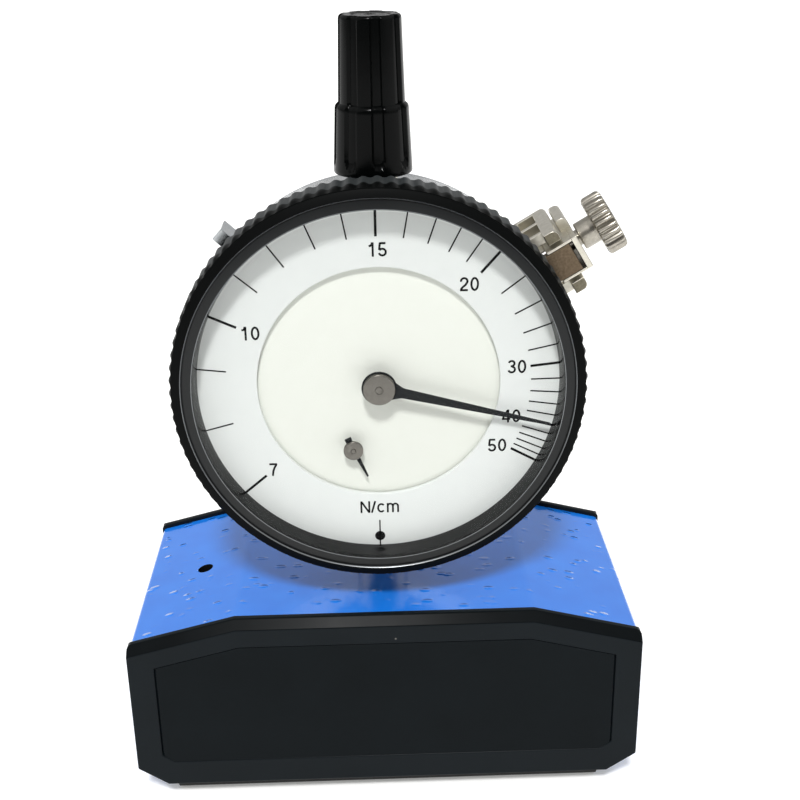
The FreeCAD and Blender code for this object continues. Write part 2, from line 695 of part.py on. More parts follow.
def dial_case():
    """Tube with three inner lugs for the movement and one outer lug."""
    inner, cover_y = CASE_INNER_R, CASE_BACK_Y - CASE_BACK_T
    tube = rod_y(CASE_R, CASE_FRONT_Y, cover_y, 0, DIAL_Z)
    tube = tube.cut(rod_y(inner, CASE_FRONT_Y, cover_y, 0, DIAL_Z))
    wall = CASE_WALL / 2
    half = CASE_LUG_W / 2
    lugs = [at_angle(box(inner - CASE_LUG_REACH, inner + wall, BACK_PLATE_REAR_Y, cover_y,
                         -half, half), i * 360 / CASE_LUG_COUNT) for i in range(CASE_LUG_COUNT)]
    y0 = SKIRT_BACK_Y + BEZEL_BACK_GAP
    lugs.append(at_angle(box(inner + wall, LUG_TOP_R, y0, y0 + LUG_L, -LUG_W / 2, LUG_W / 2),
                         LUG_ANGLE))
    case = join([tube] + lugs)
    case = case.cut(rod_z(STEM_R, DIAL_Z - CASE_R - CUT_OVER, DIAL_Z - inner + GUIDE_INSIDE))
    return case.cut(rod_z(NECK_R, DIAL_Z + inner - GUIDE_INSIDE, DIAL_Z + CASE_R + CUT_OVER))


def case_back():
    return rod_y(CASE_R, CASE_BACK_Y - CASE_BACK_T, CASE_BACK_Y, 0, DIAL_Z)


def stem():
    """Lower guide of the spindle: the tube that the collar grips."""
    top = DIAL_Z - CASE_INNER_R + GUIDE_INSIDE
    tube = rod_z(STEM_R, STEM_BOTTOM_Z, top)
    return tube.cut(rod_z(SPINDLE_R + RUN_GAP, STEM_BOTTOM_Z, top))


def upper_neck():
    """Upper guide of the spindle, threaded outside for the cap."""
    z0 = DIAL_Z + CASE_INNER_R - GUIDE_INSIDE
    z1 = DIAL_Z + CASE_R + NECK_L
    tube = rod_z(NECK_R, z0, z1)
    return tube.cut(rod_z(SPINDLE_R + RUN_GAP, z0, z1))


def faceted_z(sections, sides):
    """Solid with flat sides about the vertical axis, from (radius, z) sections, lowest first."""
    rings = []
    for radius, z in sections:
        rings.append([Vector(x, y, z) for x, y in polygon(sides, radius)])
    faces = [Part.Face(Part.makePolygon(ring + ring[:1])) for ring in (rings[0], rings[-1])]
    for low, high in zip(rings, rings[1:]):
        for i in range(sides):
            after = (i + 1) % sides
            corners = [low[i], low[after], high[after], high[i], low[i]]
            faces.append(Part.Face(Part.makePolygon(corners)))
    return Part.makeSolid(Part.makeShell(faces))


def stem_cap():
    """Dust cap over the spindle's upper end, with finger flutes that run out at its step."""
    cap = faceted_z([
        (CAP_SKIRT_R, CAP_BOTTOM_Z), (CAP_SKIRT_TOP_R, CAP_STEP_Z - CAP_SHOULDER),
        (CAP_WAIST_R, CAP_STEP_Z), (CAP_TOP_R, CAP_TOP_Z - CAP_CHAMFER),
        (CAP_TOP_R - CAP_CHAMFER, CAP_TOP_Z)], CAP_SIDES)
    cap = cap.cut(rod_z(NECK_R, CAP_BOTTOM_Z, CAP_TOP_Z - CAP_ROOF_T))
    z0, z1 = CAP_BOTTOM_Z + FLUTE_LOW, CAP_STEP_Z
    # the cutter is as far outside the skirt as its floor is inside, so it widens on past the skirt
    floor, mouth = CAP_SKIRT_R - FLUTE_DEPTH, CAP_SKIRT_R + FLUTE_DEPTH
    floor_half = FLUTE_FLOOR_W / 2
    mouth_half = FLUTE_W - floor_half
    for i in range(FLUTE_COUNT):
        ring = [Vector(floor, -floor_half, z0), Vector(mouth, -mouth_half, z0),
                Vector(mouth, mouth_half, z0), Vector(floor, floor_half, z0)]
        flute = Part.Face(Part.makePolygon(ring + ring[:1])).extrude(Vector(0, 0, z1 - z0))
        flute.rotate(Vector(0, 0, 0), Vector(0, 0, 1), -90 + FLUTE_TURN + i * 360 / FLUTE_COUNT)
        cap = cap.cut(flute)
    return cap


def spindle():
    """Round rack: a rod with teeth cut into its left flank."""
    rod = rod_z(SPINDLE_R, SPINDLE_BOTTOM_Z, SPINDLE_TOP_Z)
    mesh_z = DIAL_Z + COUNTER_DZ
    tip_x = RACK_LINE_X - RACK_ADDENDUM
    root_x = RACK_LINE_X + RACK_DEDENDUM
    reach = RACK_TEETH * RACK_PITCH / 2
    rod = rod.cut(box(-SPINDLE_R - CUT_OVER, tip_x, -SPINDLE_R, SPINDLE_R,
                      mesh_z - reach, mesh_z + reach))
    mouth_x = tip_x - RACK_GAP_OPEN
    wide, narrow = RACK_GAP_MOUTH * RACK_PITCH, RACK_GAP_FLOOR * RACK_PITCH
    gaps = []
    for i in range(RACK_TEETH):
        z = mesh_z + (i - RACK_TEETH // 2) * RACK_PITCH
        gap = [(root_x, z - narrow), (mouth_x, z - wide), (mouth_x, z + wide),
               (root_x, z + narrow)]
        gaps.append(extrude_xz(gap, -SPINDLE_R, SPINDLE_R))
    rod = rod.cut(gaps)
    return rod.cut(rod_y(PIN_R, -SPINDLE_R - CUT_OVER, 0, 0, pin_height()))


def pin_height():
    return DIAL_Z + PIN_DZ


def guide_pin():
    """Pin in the spindle that runs in a slot of the rear movement plate."""
    return rod_y(PIN_R, BACK_PLATE_Y + PIN_SET_BACK, 0, 0, pin_height())


def contact_point():
    tip_z = CONTACT_BOTTOM_Z + CONTACT_L / 3
    return revolve_z([(0, CONTACT_BOTTOM_Z), (CONTACT_TIP_R, CONTACT_BOTTOM_Z),
                      (CONTACT_R, tip_z), (CONTACT_R, SPINDLE_BOTTOM_Z), (0, SPINDLE_BOTTOM_Z)])


# Movement

def pillar_places():
    turns = [math.radians(angle) for angle in PILLAR_ANGLES]
    return [at_dial(PILLAR_CIRCLE_R * math.cos(t), PILLAR_CIRCLE_R * math.sin(t)) for t in turns]


def arbor_places():
    return [at_dial(0, 0), at_dial(COUNTER_X, COUNTER_DZ), at_dial(HAIR_X, HAIR_DZ)]


def movement_plate(radius, y0, y1):
    """Six-sided plate with a bearing hole for each arbor."""
    plate = prism_y(polygon(6, radius), y0, y1, 0, DIAL_Z)
    for x, z in arbor_places():
        plate = plate.cut(rod_y(ARBOR_R + SHAFT_GAP, y0, y1, x, z))
    return plate


def rear_movement_plate():
    """Plate on the case's lugs, slotted for the spindle's guide pin."""
    plate = movement_plate(CASE_INNER_R - RUN_GAP, BACK_PLATE_Y, BACK_PLATE_REAR_Y)
    slot = PIN_R + PIN_SLOT_GAP
    z0, z1 = pin_height() - PROBE_DROP - PIN_SLOT_END, pin_height() + PIN_SLOT_END
    return plate.cut(box(-slot, slot, BACK_PLATE_Y, BACK_PLATE_REAR_Y, z0, z1))


def front_movement_plate():
    return movement_plate(BRIDGE_R, BRIDGE_Y, BRIDGE_BACK_Y)


def movement_pillars():
    """Three hexagonal pillars between the two movement plates."""
    return [prism_y(polygon(6, PILLAR_R), BRIDGE_BACK_Y, BACK_PLATE_Y, x, z)
            for x, z in pillar_places()]


def counter_bearing():
    """Cock behind the spindle that carries the rear end of the counter arbor."""
    x, z = at_dial(COUNTER_X, COUNTER_DZ)
    y0 = RACK_PINION_W / 2 + COCK_GAP
    y1 = y0 + COCK_T
    leg_x = x - COCK_REACH
    arm = box(leg_x, x + COCK_END, y0, y1, z - COCK_W / 2, z + COCK_W / 2)
    leg = box(leg_x, leg_x + COCK_LEG, BACK_PLATE_REAR_Y, y0, z - COCK_W / 2, z + COCK_W / 2)
    return join([arm, leg]).cut(rod_y(ARBOR_R + SHAFT_GAP, y0, y1, x, z))


def centre_arbor():
    """Pointer arbor with its pinion."""
    x, z = at_dial(0, 0)
    outline = toothed(PINION_TEETH, PINION_PITCH_R + GEAR_ADDENDUM * GEAR_MODULE,
                      PINION_PITCH_R - PINION_DEDENDUM * GEAR_MODULE, PINION_TIP, PINION_ROOT,
                      COUNTER_DIR + PINION_STEP / 2)
    pinion = prism_y(outline, WHEEL_Y - PINION_OVER, WHEEL_Y + WHEEL_T + PINION_OVER, x, z)
    return join([rod_y(ARBOR_R, POINTER_Y + POINTER_T, BACK_PLATE_REAR_Y, x, z), pinion])


def wheel(x, z, direction):
    """Crossed-out wheel whose tooth points along a direction at rest."""
    outline = toothed(WHEEL_TEETH, WHEEL_PITCH_R + GEAR_ADDENDUM * GEAR_MODULE,
                      WHEEL_PITCH_R - WHEEL_DEDENDUM * GEAR_MODULE, 0, 1, direction)
    body = prism_y(outline, WHEEL_Y, WHEEL_Y + WHEEL_T, x, z)
    rim = WHEEL_PITCH_R - WHEEL_DEDENDUM * GEAR_MODULE - WHEEL_RIM
    rim_turn = math.asin(SPOKE_W / 2 / rim)
    hub_turn = math.asin(SPOKE_W / 2 / WHEEL_HUB_R)
    for i in range(WHEEL_SPOKES):
        start = math.radians(direction) + 2 * math.pi * i / WHEEL_SPOKES
        end = start + 2 * math.pi / WHEEL_SPOKES
        corners = [(WHEEL_HUB_R, start + hub_turn), (rim, start + rim_turn),
                   (rim, (start + end) / 2), (rim, end - rim_turn), (WHEEL_HUB_R, end - hub_turn)]
        window = [(radius * math.cos(angle), radius * math.sin(angle)) for radius, angle in corners]
        body = body.cut(prism_y(window, WHEEL_Y, WHEEL_Y + WHEEL_T, x, z))
    return body


def counter_arbor():
    """Arbor with the pinion that the spindle's rack turns."""
    x, z = at_dial(COUNTER_X, COUNTER_DZ)
    tip, root = RACK_PINION_R + RACK_ADDENDUM, RACK_PINION_R - RACK_DEDENDUM
    half = RACK_PINION_W / 2
    teeth = toothed(RACK_PINION_TEETH, tip, root, RACK_PINION_TIP, RACK_PINION_ROOT)
    pinion = prism_y(teeth, -half, half, x, z)
    arbor = rod_y(ARBOR_R, COUNTER_HUB_Y + COUNTER_HUB_T, half + COCK_GAP + COCK_T, x, z)
    return join([arbor, pinion])


def counter_wheel():
    x, z = at_dial(COUNTER_X, COUNTER_DZ)
    body = wheel(x, z, COUNTER_DIR + 180)
    return body.cut(rod_y(ARBOR_R, WHEEL_Y, WHEEL_Y + WHEEL_T, x, z))


def hairspring_arbor():
    x, z = at_dial(HAIR_X, HAIR_DZ)
    body = wheel(x, z, HAIR_DIR + 180)
    return join([body, rod_y(ARBOR_R, BRIDGE_Y, BACK_PLATE_REAR_Y, x, z)])


def hairspring():
    """Flat spiral round the arbor, its outer end held by a stud on the front plate."""
    x, z = at_dial(HAIR_X, HAIR_DZ)
    y0 = BRIDGE_BACK_Y + HAIR_BACK
    y1 = y0 + HAIR_W
    inner, outer = [], []
    for i in range(HAIR_TURNS * HAIR_STEPS + 1):
        angle = 2 * math.pi * i / HAIR_STEPS
        radius = ARBOR_R + HAIR_CLEAR + HAIR_PITCH * i / HAIR_STEPS
        inner.append((radius * math.cos(angle), radius * math.sin(angle)))
        reach = radius + HAIR_T
        outer.append((reach * math.cos(angle), reach * math.sin(angle)))
    spiral = prism_y(inner + outer[::-1], y0, y1, x, z)
    end = x + outer[-1][0]
    stud = box(end - HAIR_T, end + HAIR_STUD, BRIDGE_BACK_Y, y1, z - HAIR_STUD / 2, z + HAIR_STUD / 2)
    return join([spiral, stud])


def main_pointer():
    """Tapered hand that widens to a ring round its hub."""
    tip = POINTER_TIP_W / 2
    flare, narrow = POINTER_FLARE_W / 2, POINTER_ROOT_W / 2
    outline = [(-flare, POINTER_RING_R - POINTER_FLARE_L), (-narrow, POINTER_RING_R + POINTER_FLARE_L),
               (-tip, POINTER_L - tip), (0, POINTER_L), (tip, POINTER_L - tip),
               (narrow, POINTER_RING_R + POINTER_FLARE_L), (flare, POINTER_RING_R - POINTER_FLARE_L)]
    y0, y1 = POINTER_Y, POINTER_Y + POINTER_T
    hand = join([extrude_xz(outline, y0, y1), rod_y(POINTER_RING_R, y0, y1)])
    hand.rotate(Vector(0, 0, 0), Vector(0, 1, 0), POINTER_ANGLE)
    hand.translate(Vector(0, 0, DIAL_Z))
    return hand


def pointer_hub():
    return rod_y(HUB_R, HUB_FRONT_Y, POINTER_Y, 0, DIAL_Z)


def counter_pointer():
    """Short hand and tail in one sheet behind a round hub."""
    x, z = at_dial(COUNTER_X, COUNTER_DZ)
    root, tip, tail = COUNTER_ROOT_W / 2, COUNTER_TIP_W / 2, COUNTER_TAIL_W / 2
    outline = [(-tail, -COUNTER_TAIL), (-root, 0), (-tip, COUNTER_L), (tip, COUNTER_L), (root, 0),
               (tail, -COUNTER_TAIL)]
    y1 = COUNTER_HUB_Y + COUNTER_HUB_T
    hand = join([extrude_xz(outline, y1 - POINTER_T, y1), rod_y(COUNTER_HUB_R, COUNTER_HUB_Y, y1)])
    hand.rotate(Vector(0, 0, 0), Vector(0, 1, 0), COUNTER_ANGLE)
    hand.translate(Vector(x, 0, z))
    return hand


# Bezel clamp: each piece is built along X and turned to its place

def clamp_frame():
    """Fixed fork on the case's side: saddle, two arms on webs, and the folded yoke between."""
    y0, y1 = CLAMP_FRONT_Y, CLAMP_BACK_Y
    foot_y = SKIRT_BACK_Y + BEZEL_BACK_GAP
    cheek = BLOCK_W / 2 + RUN_GAP
    arm_in = cheek + SHEET_T + ARM_GAP
    arm_out = arm_in + ARM_W
    yoke_r = BLOCK_OUTER_R + YOKE_GAP
    saddle = rod_y(CASE_R + SADDLE_T, foot_y, y1).cut(rod_y(CASE_R, foot_y, y1))
    pieces = [saddle.common(box(0, CASE_R + SADDLE_T, foot_y, y1, -arm_out, arm_out))]
    pieces.append(box(yoke_r, yoke_r + YOKE_T, y0, y1, -cheek - SHEET_T, cheek + SHEET_T))
    pieces.append(box(yoke_r, yoke_r + YOKE_T, y1 - YOKE_TAB_L, y1, -YOKE_W / 2, YOKE_W / 2))
    for side in (-1, 1):
        lo, hi = sorted((side * cheek, side * (cheek + SHEET_T)))
        pieces.append(box(BLOCK_INNER_R, yoke_r, y0, y1, lo, hi))
        pieces.append(box(CASE_R + SADDLE_T / 2, BLOCK_INNER_R, foot_y, y1, lo, hi))
        lo, hi = sorted((side * arm_in, side * arm_out))
        pieces.append(box(ARM_INNER_R, ARM_OUTER_R, y0, y1, lo, hi))
        for i in range(WEB_COUNT):
            web_y = foot_y + i * (y1 - foot_y - WEB_T) / (WEB_COUNT - 1)
            pieces.append(box(CASE_R, ARM_INNER_R, web_y, web_y + WEB_T, lo, hi))
    frame = join(pieces).cut(rod_y(CASE_R, foot_y, y1))
    hole = rod_x(CLAMP_SHANK_R + RUN_GAP, yoke_r, yoke_r + YOKE_T, CLAMP_SCREW_Y, 0)
    return at_angle(frame.cut(hole), CLAMP_ANGLE)


def clamp_block():
    """Brake shoe that the thumb screw presses on the bezel's skirt."""
    half = BLOCK_W / 2
    block = box(BLOCK_INNER_R, BLOCK_OUTER_R, CLAMP_FRONT_Y, CLAMP_BACK_Y, -half, half)
    shoe = box(SKIRT_R - CUT_OVER, BLOCK_INNER_R, CLAMP_FRONT_Y, CLAMP_FRONT_Y + SHOE_L, -half, half)
    shoe = shoe.cut(rod_y(SKIRT_R + SHOE_GAP, CLAMP_FRONT_Y, CLAMP_FRONT_Y + SHOE_L))
    return at_angle(join([block, shoe]), CLAMP_ANGLE)


def thumb_screw():
    """Thumb screw with a straight-knurled head, threaded through the yoke into the block."""
    inner, y = CLAMP_HEAD_FROM, CLAMP_SCREW_Y
    teeth = toothed(CLAMP_TEETH, CLAMP_HEAD_R, CLAMP_HEAD_R - CLAMP_TOOTH, CLAMP_LAND, 1)
    ring = [Vector(inner, y + a, b) for a, b in teeth]
    head = Part.Face(Part.makePolygon(ring + ring[:1])).extrude(Vector(CLAMP_HEAD_T, 0, 0))
    neck = rod_x(CLAMP_NECK_R, BLOCK_OUTER_R + YOKE_GAP + YOKE_T + CLAMP_NECK_GAP, inner, y, 0)
    shank = rod_x(CLAMP_SHANK_R, BLOCK_OUTER_R, inner, y, 0)
    return at_angle(join([head, neck, shank]), CLAMP_ANGLE)


def build():
    plate, inlay, bar = end_plate(), panel_inlay(), support_bar()
    save("front_end_plate", plate)
    save("rear_end_plate", turned_about(plate))
    save("front_panel_inlay", inlay)
    save("rear_panel_inlay", turned_about(inlay))
    save("front_support_bar", bar)
    save("rear_support_bar", turned_about(bar))
    save("housing_shell", housing_shell())
    save("base_frame", base_frame())
    save("bottom_cover", bottom_cover())
    save("measuring_bar", measuring_bar())
    save("guide_pins", Part.makeCompound(guide_pins()))
    save("anvil_button", anvil())
    for name, side in (("left", -1), ("right", 1)):
        save(name + "_guide_bush", guide_bush(side * GUIDE_X))
        save(name + "_leaf_spring", leaf_spring(side))
    save("calibration_screw", trim_screw())
    save("stem_collar", stem_collar())
    save("bezel", bezel())
    save("crystal", crystal())
    save("scale_ring", scale_ring())
    save("dial_disc", dial_disc())
    save("dial_case", dial_case())
    save("case_back", case_back())
    save("stem", stem())
    save("upper_neck", upper_neck())
    save("stem_cap", stem_cap())
    save("spindle", spindle())
    save("spindle_guide_pin", guide_pin())
    save("contact_point", contact_point())
    save("rear_movement_plate", rear_movement_plate())
    save("front_movement_plate", front_movement_plate())
    save("movement_pillars", Part.makeCompound(movement_pillars()))
    save("counter_bearing", counter_bearing())
    save("centre_arbor", centre_arbor())
    save("counter_arbor", counter_arbor())
    save("counter_wheel", counter_wheel())
    save("hairspring_wheel", hairspring_arbor())
    save("hairspring", hairspring())
    save("main_pointer", main_pointer())
    save("pointer_hub", pointer_hub())
    save("counter_pointer", counter_pointer())
    save("clamp_frame", clamp_frame())
    save("clamp_block", clamp_block())
    save("clamp_thumb_screw", thumb_screw())


build()
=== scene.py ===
# %% [markdown]
# A screen tension meter, dressed
#
# A screen printer stands this meter on a stretched mesh and reads the mesh's tension on the dial.
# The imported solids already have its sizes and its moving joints. Each step below takes one piece
# or one finish of the real object and gives it what the plain solid lacks: softened edges,
# print, knurls, enamel and metal.

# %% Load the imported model
import math

import bmesh
import bpy
from mathutils import Euler, Matrix, Vector


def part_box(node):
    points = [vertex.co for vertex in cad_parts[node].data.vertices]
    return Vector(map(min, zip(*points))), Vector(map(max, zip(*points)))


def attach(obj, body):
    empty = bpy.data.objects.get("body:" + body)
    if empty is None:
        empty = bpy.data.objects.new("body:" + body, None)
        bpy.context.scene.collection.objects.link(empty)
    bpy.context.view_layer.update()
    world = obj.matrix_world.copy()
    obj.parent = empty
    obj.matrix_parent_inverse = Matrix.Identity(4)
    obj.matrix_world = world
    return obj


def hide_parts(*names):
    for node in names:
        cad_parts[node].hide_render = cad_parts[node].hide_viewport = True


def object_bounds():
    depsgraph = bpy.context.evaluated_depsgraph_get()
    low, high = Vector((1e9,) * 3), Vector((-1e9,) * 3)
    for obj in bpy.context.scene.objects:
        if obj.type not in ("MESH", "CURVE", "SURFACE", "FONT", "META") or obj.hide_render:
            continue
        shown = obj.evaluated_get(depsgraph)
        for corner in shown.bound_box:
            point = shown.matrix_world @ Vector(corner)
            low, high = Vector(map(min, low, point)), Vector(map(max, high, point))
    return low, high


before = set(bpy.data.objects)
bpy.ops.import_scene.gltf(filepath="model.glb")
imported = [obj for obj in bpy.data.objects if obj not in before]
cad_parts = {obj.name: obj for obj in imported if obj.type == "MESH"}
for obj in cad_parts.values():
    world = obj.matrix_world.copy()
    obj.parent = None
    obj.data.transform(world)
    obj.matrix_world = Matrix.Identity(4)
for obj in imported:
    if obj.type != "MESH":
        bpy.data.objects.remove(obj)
MM = 0.001
cad_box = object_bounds()
cad_size = [round((high - low) / MM, 1) for low, high in zip(*cad_box)]
print("CAD box in mm:", cad_size)

# %% [markdown]
# The camera
#
# A camera can be placed by eye, or worked out from points whose real places are known. Here it
# was worked out from the rim of the dial and the corners of the base, so the picture has the same
# perspective as the photograph: 18 cm in front, well above the base, and turned by a hair.

# %% Camera
CAMERA_PLACE = Vector((-1.09, -179.0, 130.4))
CAMERA_TILT = 67.625
CAMERA_HEADING = -1.379
CAMERA_ROLL = -0.971
LENS_MM = 57.54
SENSOR_MM = 36.0

camera = bpy.data.objects.new("camera", bpy.data.cameras.new("camera"))
camera.data.lens = LENS_MM
camera.data.sensor_width = SENSOR_MM
camera.data.clip_start = 0.01
camera.data.clip_end = 100
aim = Euler((math.radians(CAMERA_TILT), 0, math.radians(CAMERA_HEADING))).to_matrix().to_4x4()
roll = Matrix.Rotation(math.radians(CAMERA_ROLL), 4, "Z")
camera.matrix_world = Matrix.Translation(CAMERA_PLACE * MM) @ aim @ roll
bpy.context.collection.objects.link(camera)
bpy.context.scene.camera = camera
print("Camera distance to the dial in mm:", round(CAMERA_PLACE.length))

# %% [markdown]
# Shapes by lathe and by extrusion
#
# Nearly every piece of a gauge is turned on a lathe or cut from flat stock. So two helpers make
# them all: one turns a profile round an axis, the other extrudes an outline. Real edges are never
# quite sharp, and it is the small round on an edge that catches the light. A profile corner takes
# its own radius as a third number, and flat stock gets a bevel modifier.

# %% Softened corners
def soften(points, steps=4):
    """A closed outline with an arc in place of each corner that has a radius as third value."""
    outline = []
    for index, point in enumerate(points):
        here = Vector(point[:2])
        radius = point[2] if len(point) > 2 else 0
        if not radius:
            outline.append(here)
            continue
        back = (Vector(points[index - 1][:2]) - here).normalized()
        ahead = (Vector(points[(index + 1) % len(points)][:2]) - here).normalized()
        half = back.angle(ahead) / 2
        centre = here + (back + ahead).normalized() * radius / math.sin(half)
        start = here + back * radius / math.tan(half) - centre
        end = here + ahead * radius / math.tan(half) - centre
        first = math.atan2(start.y, start.x)
        sweep = (math.atan2(end.y, end.x) - first + math.pi) % (2 * math.pi) - math.pi
        for step in range(steps + 1):
            angle = first + sweep * step / steps
            outline.append(centre + radius * Vector((math.cos(angle), math.sin(angle))))
    return outline


# %% Lathe and extrusion
def stitch(shape, rows, material):
    """Joins each ring of corners to the next, and the last to the first."""
    for low, high in zip(rows, rows[1:] + rows[:1]):
        sides = max(len(low), len(high))
        for k in range(sides):
            corners = [low[k % len(low)], low[(k + 1) % len(low)],
                       high[(k + 1) % len(high)], high[k % len(high)]]
            corners = list(dict.fromkeys(corners))
            if len(corners) > 2:
                shape.faces.new(corners).material_index = material


def put(shape, place, x, y, z):
    """A new corner at x, y, z mm of a place's own axes."""
    return shape.verts.new((place @ Vector((x, y, z))) * MM)


def turned(shape, place, profile, sides=96, material=0):
    """Turns a profile of (radius, height) points round the place's z axis."""
    rows = []
    for radius, height in soften(profile):
        count = sides if radius > 1e-6 else 1
        angles = [2 * math.pi * k / sides for k in range(count)]
        rows.append([put(shape, place, radius * math.cos(a), radius * math.sin(a), height)
                     for a in angles])
    stitch(shape, rows, material)


def extruded(shape, place, outline, low, high, material=0, steps=4):
    """Flat stock: an outline of (x, y) points, from low to high along the place's z axis."""
    ring = soften(outline, steps)
    bottom = [put(shape, place, x, y, low) for x, y in ring]
    top = [put(shape, place, x, y, high) for x, y in ring]
    shape.faces.new(bottom[::-1]).material_index = material
    shape.faces.new(top).material_index = material
    for k, corner in enumerate(bottom):
        after = (k + 1) % len(ring)
        shape.faces.new([corner, bottom[after], top[after], top[k]]).material_index = material


def block(shape, place, x, y, z, material=0):
    """A block from three (low, high) pairs."""
    outline = [(x[0], y[0]), (x[1], y[0]), (x[1], y[1]), (x[0], y[1])]
    extruded(shape, place, outline, *z, material)


# %% [markdown]
# From a shape to a piece
#
# A piece is a mesh with its finishes, and it rides on one of the model's moving bodies, so that
# the bezel's print turns with the bezel. Faces are shaded smooth except across real edges.

# %% Piece
SHARP_ANGLE = math.radians(35)


def piece(name, shape, body, finishes, replaces=(), edge=0.0, edge_steps=2):
    """Makes the object, rounds its edges by edge mm and ties it to its body."""
    bmesh.ops.recalc_face_normals(shape, faces=shape.faces[:])
    mesh = bpy.data.meshes.new(name)
    shape.to_mesh(mesh)
    shape.free()
    for finish in finishes:
        mesh.materials.append(finish)
    mesh.shade_smooth()
    mesh.set_sharp_from_angle(angle=SHARP_ANGLE)
    made = bpy.data.objects.new(name, mesh)
    bpy.context.collection.objects.link(made)
    if edge:
        bevel = made.modifiers.new("edge", "BEVEL")
        bevel.width = edge * MM
        bevel.segments = edge_steps
        bevel.limit_method = "ANGLE"
        bevel.angle_limit = SHARP_ANGLE
        bevel.harden_normals = True
    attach(made, body)
    if replaces:
        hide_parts(*replaces)
    print("Made", name, "with", len(mesh.polygons), "faces on", body)
    return made


# %% [markdown]
# Colours and nodes
#
# Colours are picked as they look on a screen, as sRGB hex values, while the renderer counts light,
# which is linear. One function turns the first into the second. Another adds a node with its
# settings and its links, so a finish reads as a short list of steps. All meshes keep their points
# in metres, so a pattern of a given size in mm has the scale 1 / size.

# %% Finish helpers
def colour(code):
    """An sRGB hex value as linear red, green, blue and alpha."""
    parts = [int(code[i:i + 2], 16) / 255 for i in (1, 3, 5)]
    linear = [c / 12.92 if c <= 0.04045 else ((c + 0.055) / 1.055) ** 2.4 for c in parts]
    return (*linear, 1.0)


def pattern_scale(size_mm):
    return 1 / (size_mm * MM)


def add(tree, kind, settings=None, links=None):
    """Adds a node. Settings name its inputs or properties, links name inputs and their source."""
    node = tree.nodes.new("ShaderNode" + kind)
    for name, value in (settings or {}).items():
        if name in node.inputs:
            node.inputs[name].default_value = value
        else:
            setattr(node, name, value)
    for name, source in (links or {}).items():
        tree.links.new(source, node.inputs[name])
    return node


def new_finish(name, settings):
    """A material with one Principled shader, and the points of the piece to place patterns by."""
    material = bpy.data.materials.new(name)
    material.use_nodes = True
    tree = material.node_tree
    shader = tree.nodes["Principled BSDF"]
    for socket, value in settings.items():
        shader.inputs[socket].default_value = value
    points = add(tree, "TexCoord").outputs["Object"]
    return material, tree, shader, points


def tinted(tree, shader, points, size_mm, detail, light, shade):
    """A base colour that wanders between two shades. Gives the wandering and the colour."""
    noise = add(tree, "TexNoise", {"Scale": pattern_scale(size_mm), "Detail": detail},
                {"Vector": points})
    tint = add(tree, "MixRGB", {"Color1": colour(light), "Color2": colour(shade)},
               {"Fac": noise.outputs["Fac"]})
    tree.links.new(tint.outputs["Color"], shader.inputs["Base Color"])
    return noise.outputs["Fac"], tint.outputs["Color"]


def relief(tree, shader, source, strength, height_mm):
    """Turns a pattern into a bump of a given height."""
    bump = add(tree, "Bump", {"Strength": strength, "Distance": height_mm * MM},
               {"Height": source})
    tree.links.new(bump.outputs["Normal"], shader.inputs["Normal"])


def patchy(tree, shader, source, low, high):
    """Lets the roughness follow a pattern, from low to high."""
    sheen = add(tree, "MapRange", {"To Min": low, "To Max": high}, {"Value": source})
    tree.links.new(sheen.outputs["Result"], shader.inputs["Roughness"])


# %% [markdown]
# Black anodised aluminium, on the end plates
#
# The end plates are milled aluminium, blasted fine and anodised black. That leaves a satin skin:
# dark, with a soft wide sheen and no mirror image. Handling leaves faint cloudy patches, and a few
# specks of dust sit on it. The blasting grit is near 0.1 mm, too fine to see from here, so the
# grain is drawn at 0.35 mm. The top bevels are milled after the blasting, so they are smoother,
# and their darker black is painted shade. One function makes every black skin of the meter, with
# its own grain and gloss.

# %% Plate finish
PATCH_MM = 9
DUST_APART_MM = 11


def satin_black(name, base, patch, roughness, grain_mm, grain_height_mm, gloss=0.3, dust=0):
    """Dull black skin with a grain, cloudy patches and, where asked, specks of dust."""
    settings = {"Roughness": roughness, "IOR": 1.5, "Specular IOR Level": gloss}
    material, tree, shader, points = new_finish(name, settings)
    cloud, skin = tinted(tree, shader, points, PATCH_MM, 3.0, base, patch)
    if dust:
        cells = add(tree, "TexVoronoi", {"Scale": pattern_scale(DUST_APART_MM), "Randomness": 1.0},
                    {"Vector": points})
        speck = add(tree, "MapRange", {"From Min": 0.020, "From Max": 0.012},
                    {"Value": cells.outputs["Distance"]})
        dusted = add(tree, "MixRGB", {"Color2": colour("#75736f")},
                     {"Fac": speck.outputs["Result"], "Color1": skin})
        tree.links.new(dusted.outputs["Color"], shader.inputs["Base Color"])
    patchy(tree, shader, cloud, roughness - 0.06, roughness + 0.08)
    grain = add(tree, "TexNoise", {"Scale": pattern_scale(grain_mm), "Detail": 2.0},
                {"Vector": points})
    relief(tree, shader, grain.outputs["Fac"], 0.5, grain_height_mm)
    return material


# Anodised after blasting: dull, with a bluish black
plate_black = satin_black("black_anodised_plate", "#0b1013", "#11171b", 0.36, 0.35, 0.02, 0.1, 1)
# Milled and anodised, with less gloss; the deeper black is painted shade
bevel_painted_shade_black = satin_black("milled_black_bevel_painted_shade", "#07090a", "#0c1012", 0.3, 0.8, 0.002, 0.04)
# Lacquered sheet: a little darker than the plate round it
panel_black = satin_black("black_lacquered_panel", "#0a0e10", "#0f1417", 0.36, 0.5, 0.01, 0.06, 1)
# Oxide on steel: brownish black with an oily sheen. The same black lines the walls of the
# housing's holes as painted shade
bar_black_and_hole_shade = satin_black("black_oxide_steel_bar_and_hole_shade", "#0b0c0c", "#141414", 0.42, 0.3, 0.01, 0.2)
print("Plate finishes ready")

# %% [markdown]
# Blue stoving enamel, on the housing
#
# The housing is sheet metal under blue enamel, baked hard. It is glossy, so it mirrors the pale
# room as a light veil over a deep blue. Droplets that dried in the spray stand up as small flecks
# of one to two millimetres. A Voronoi pattern gives such separate drops: the distance to the
# nearest point, cut off, leaves a round bump round each point. A noise keeps them in patches.

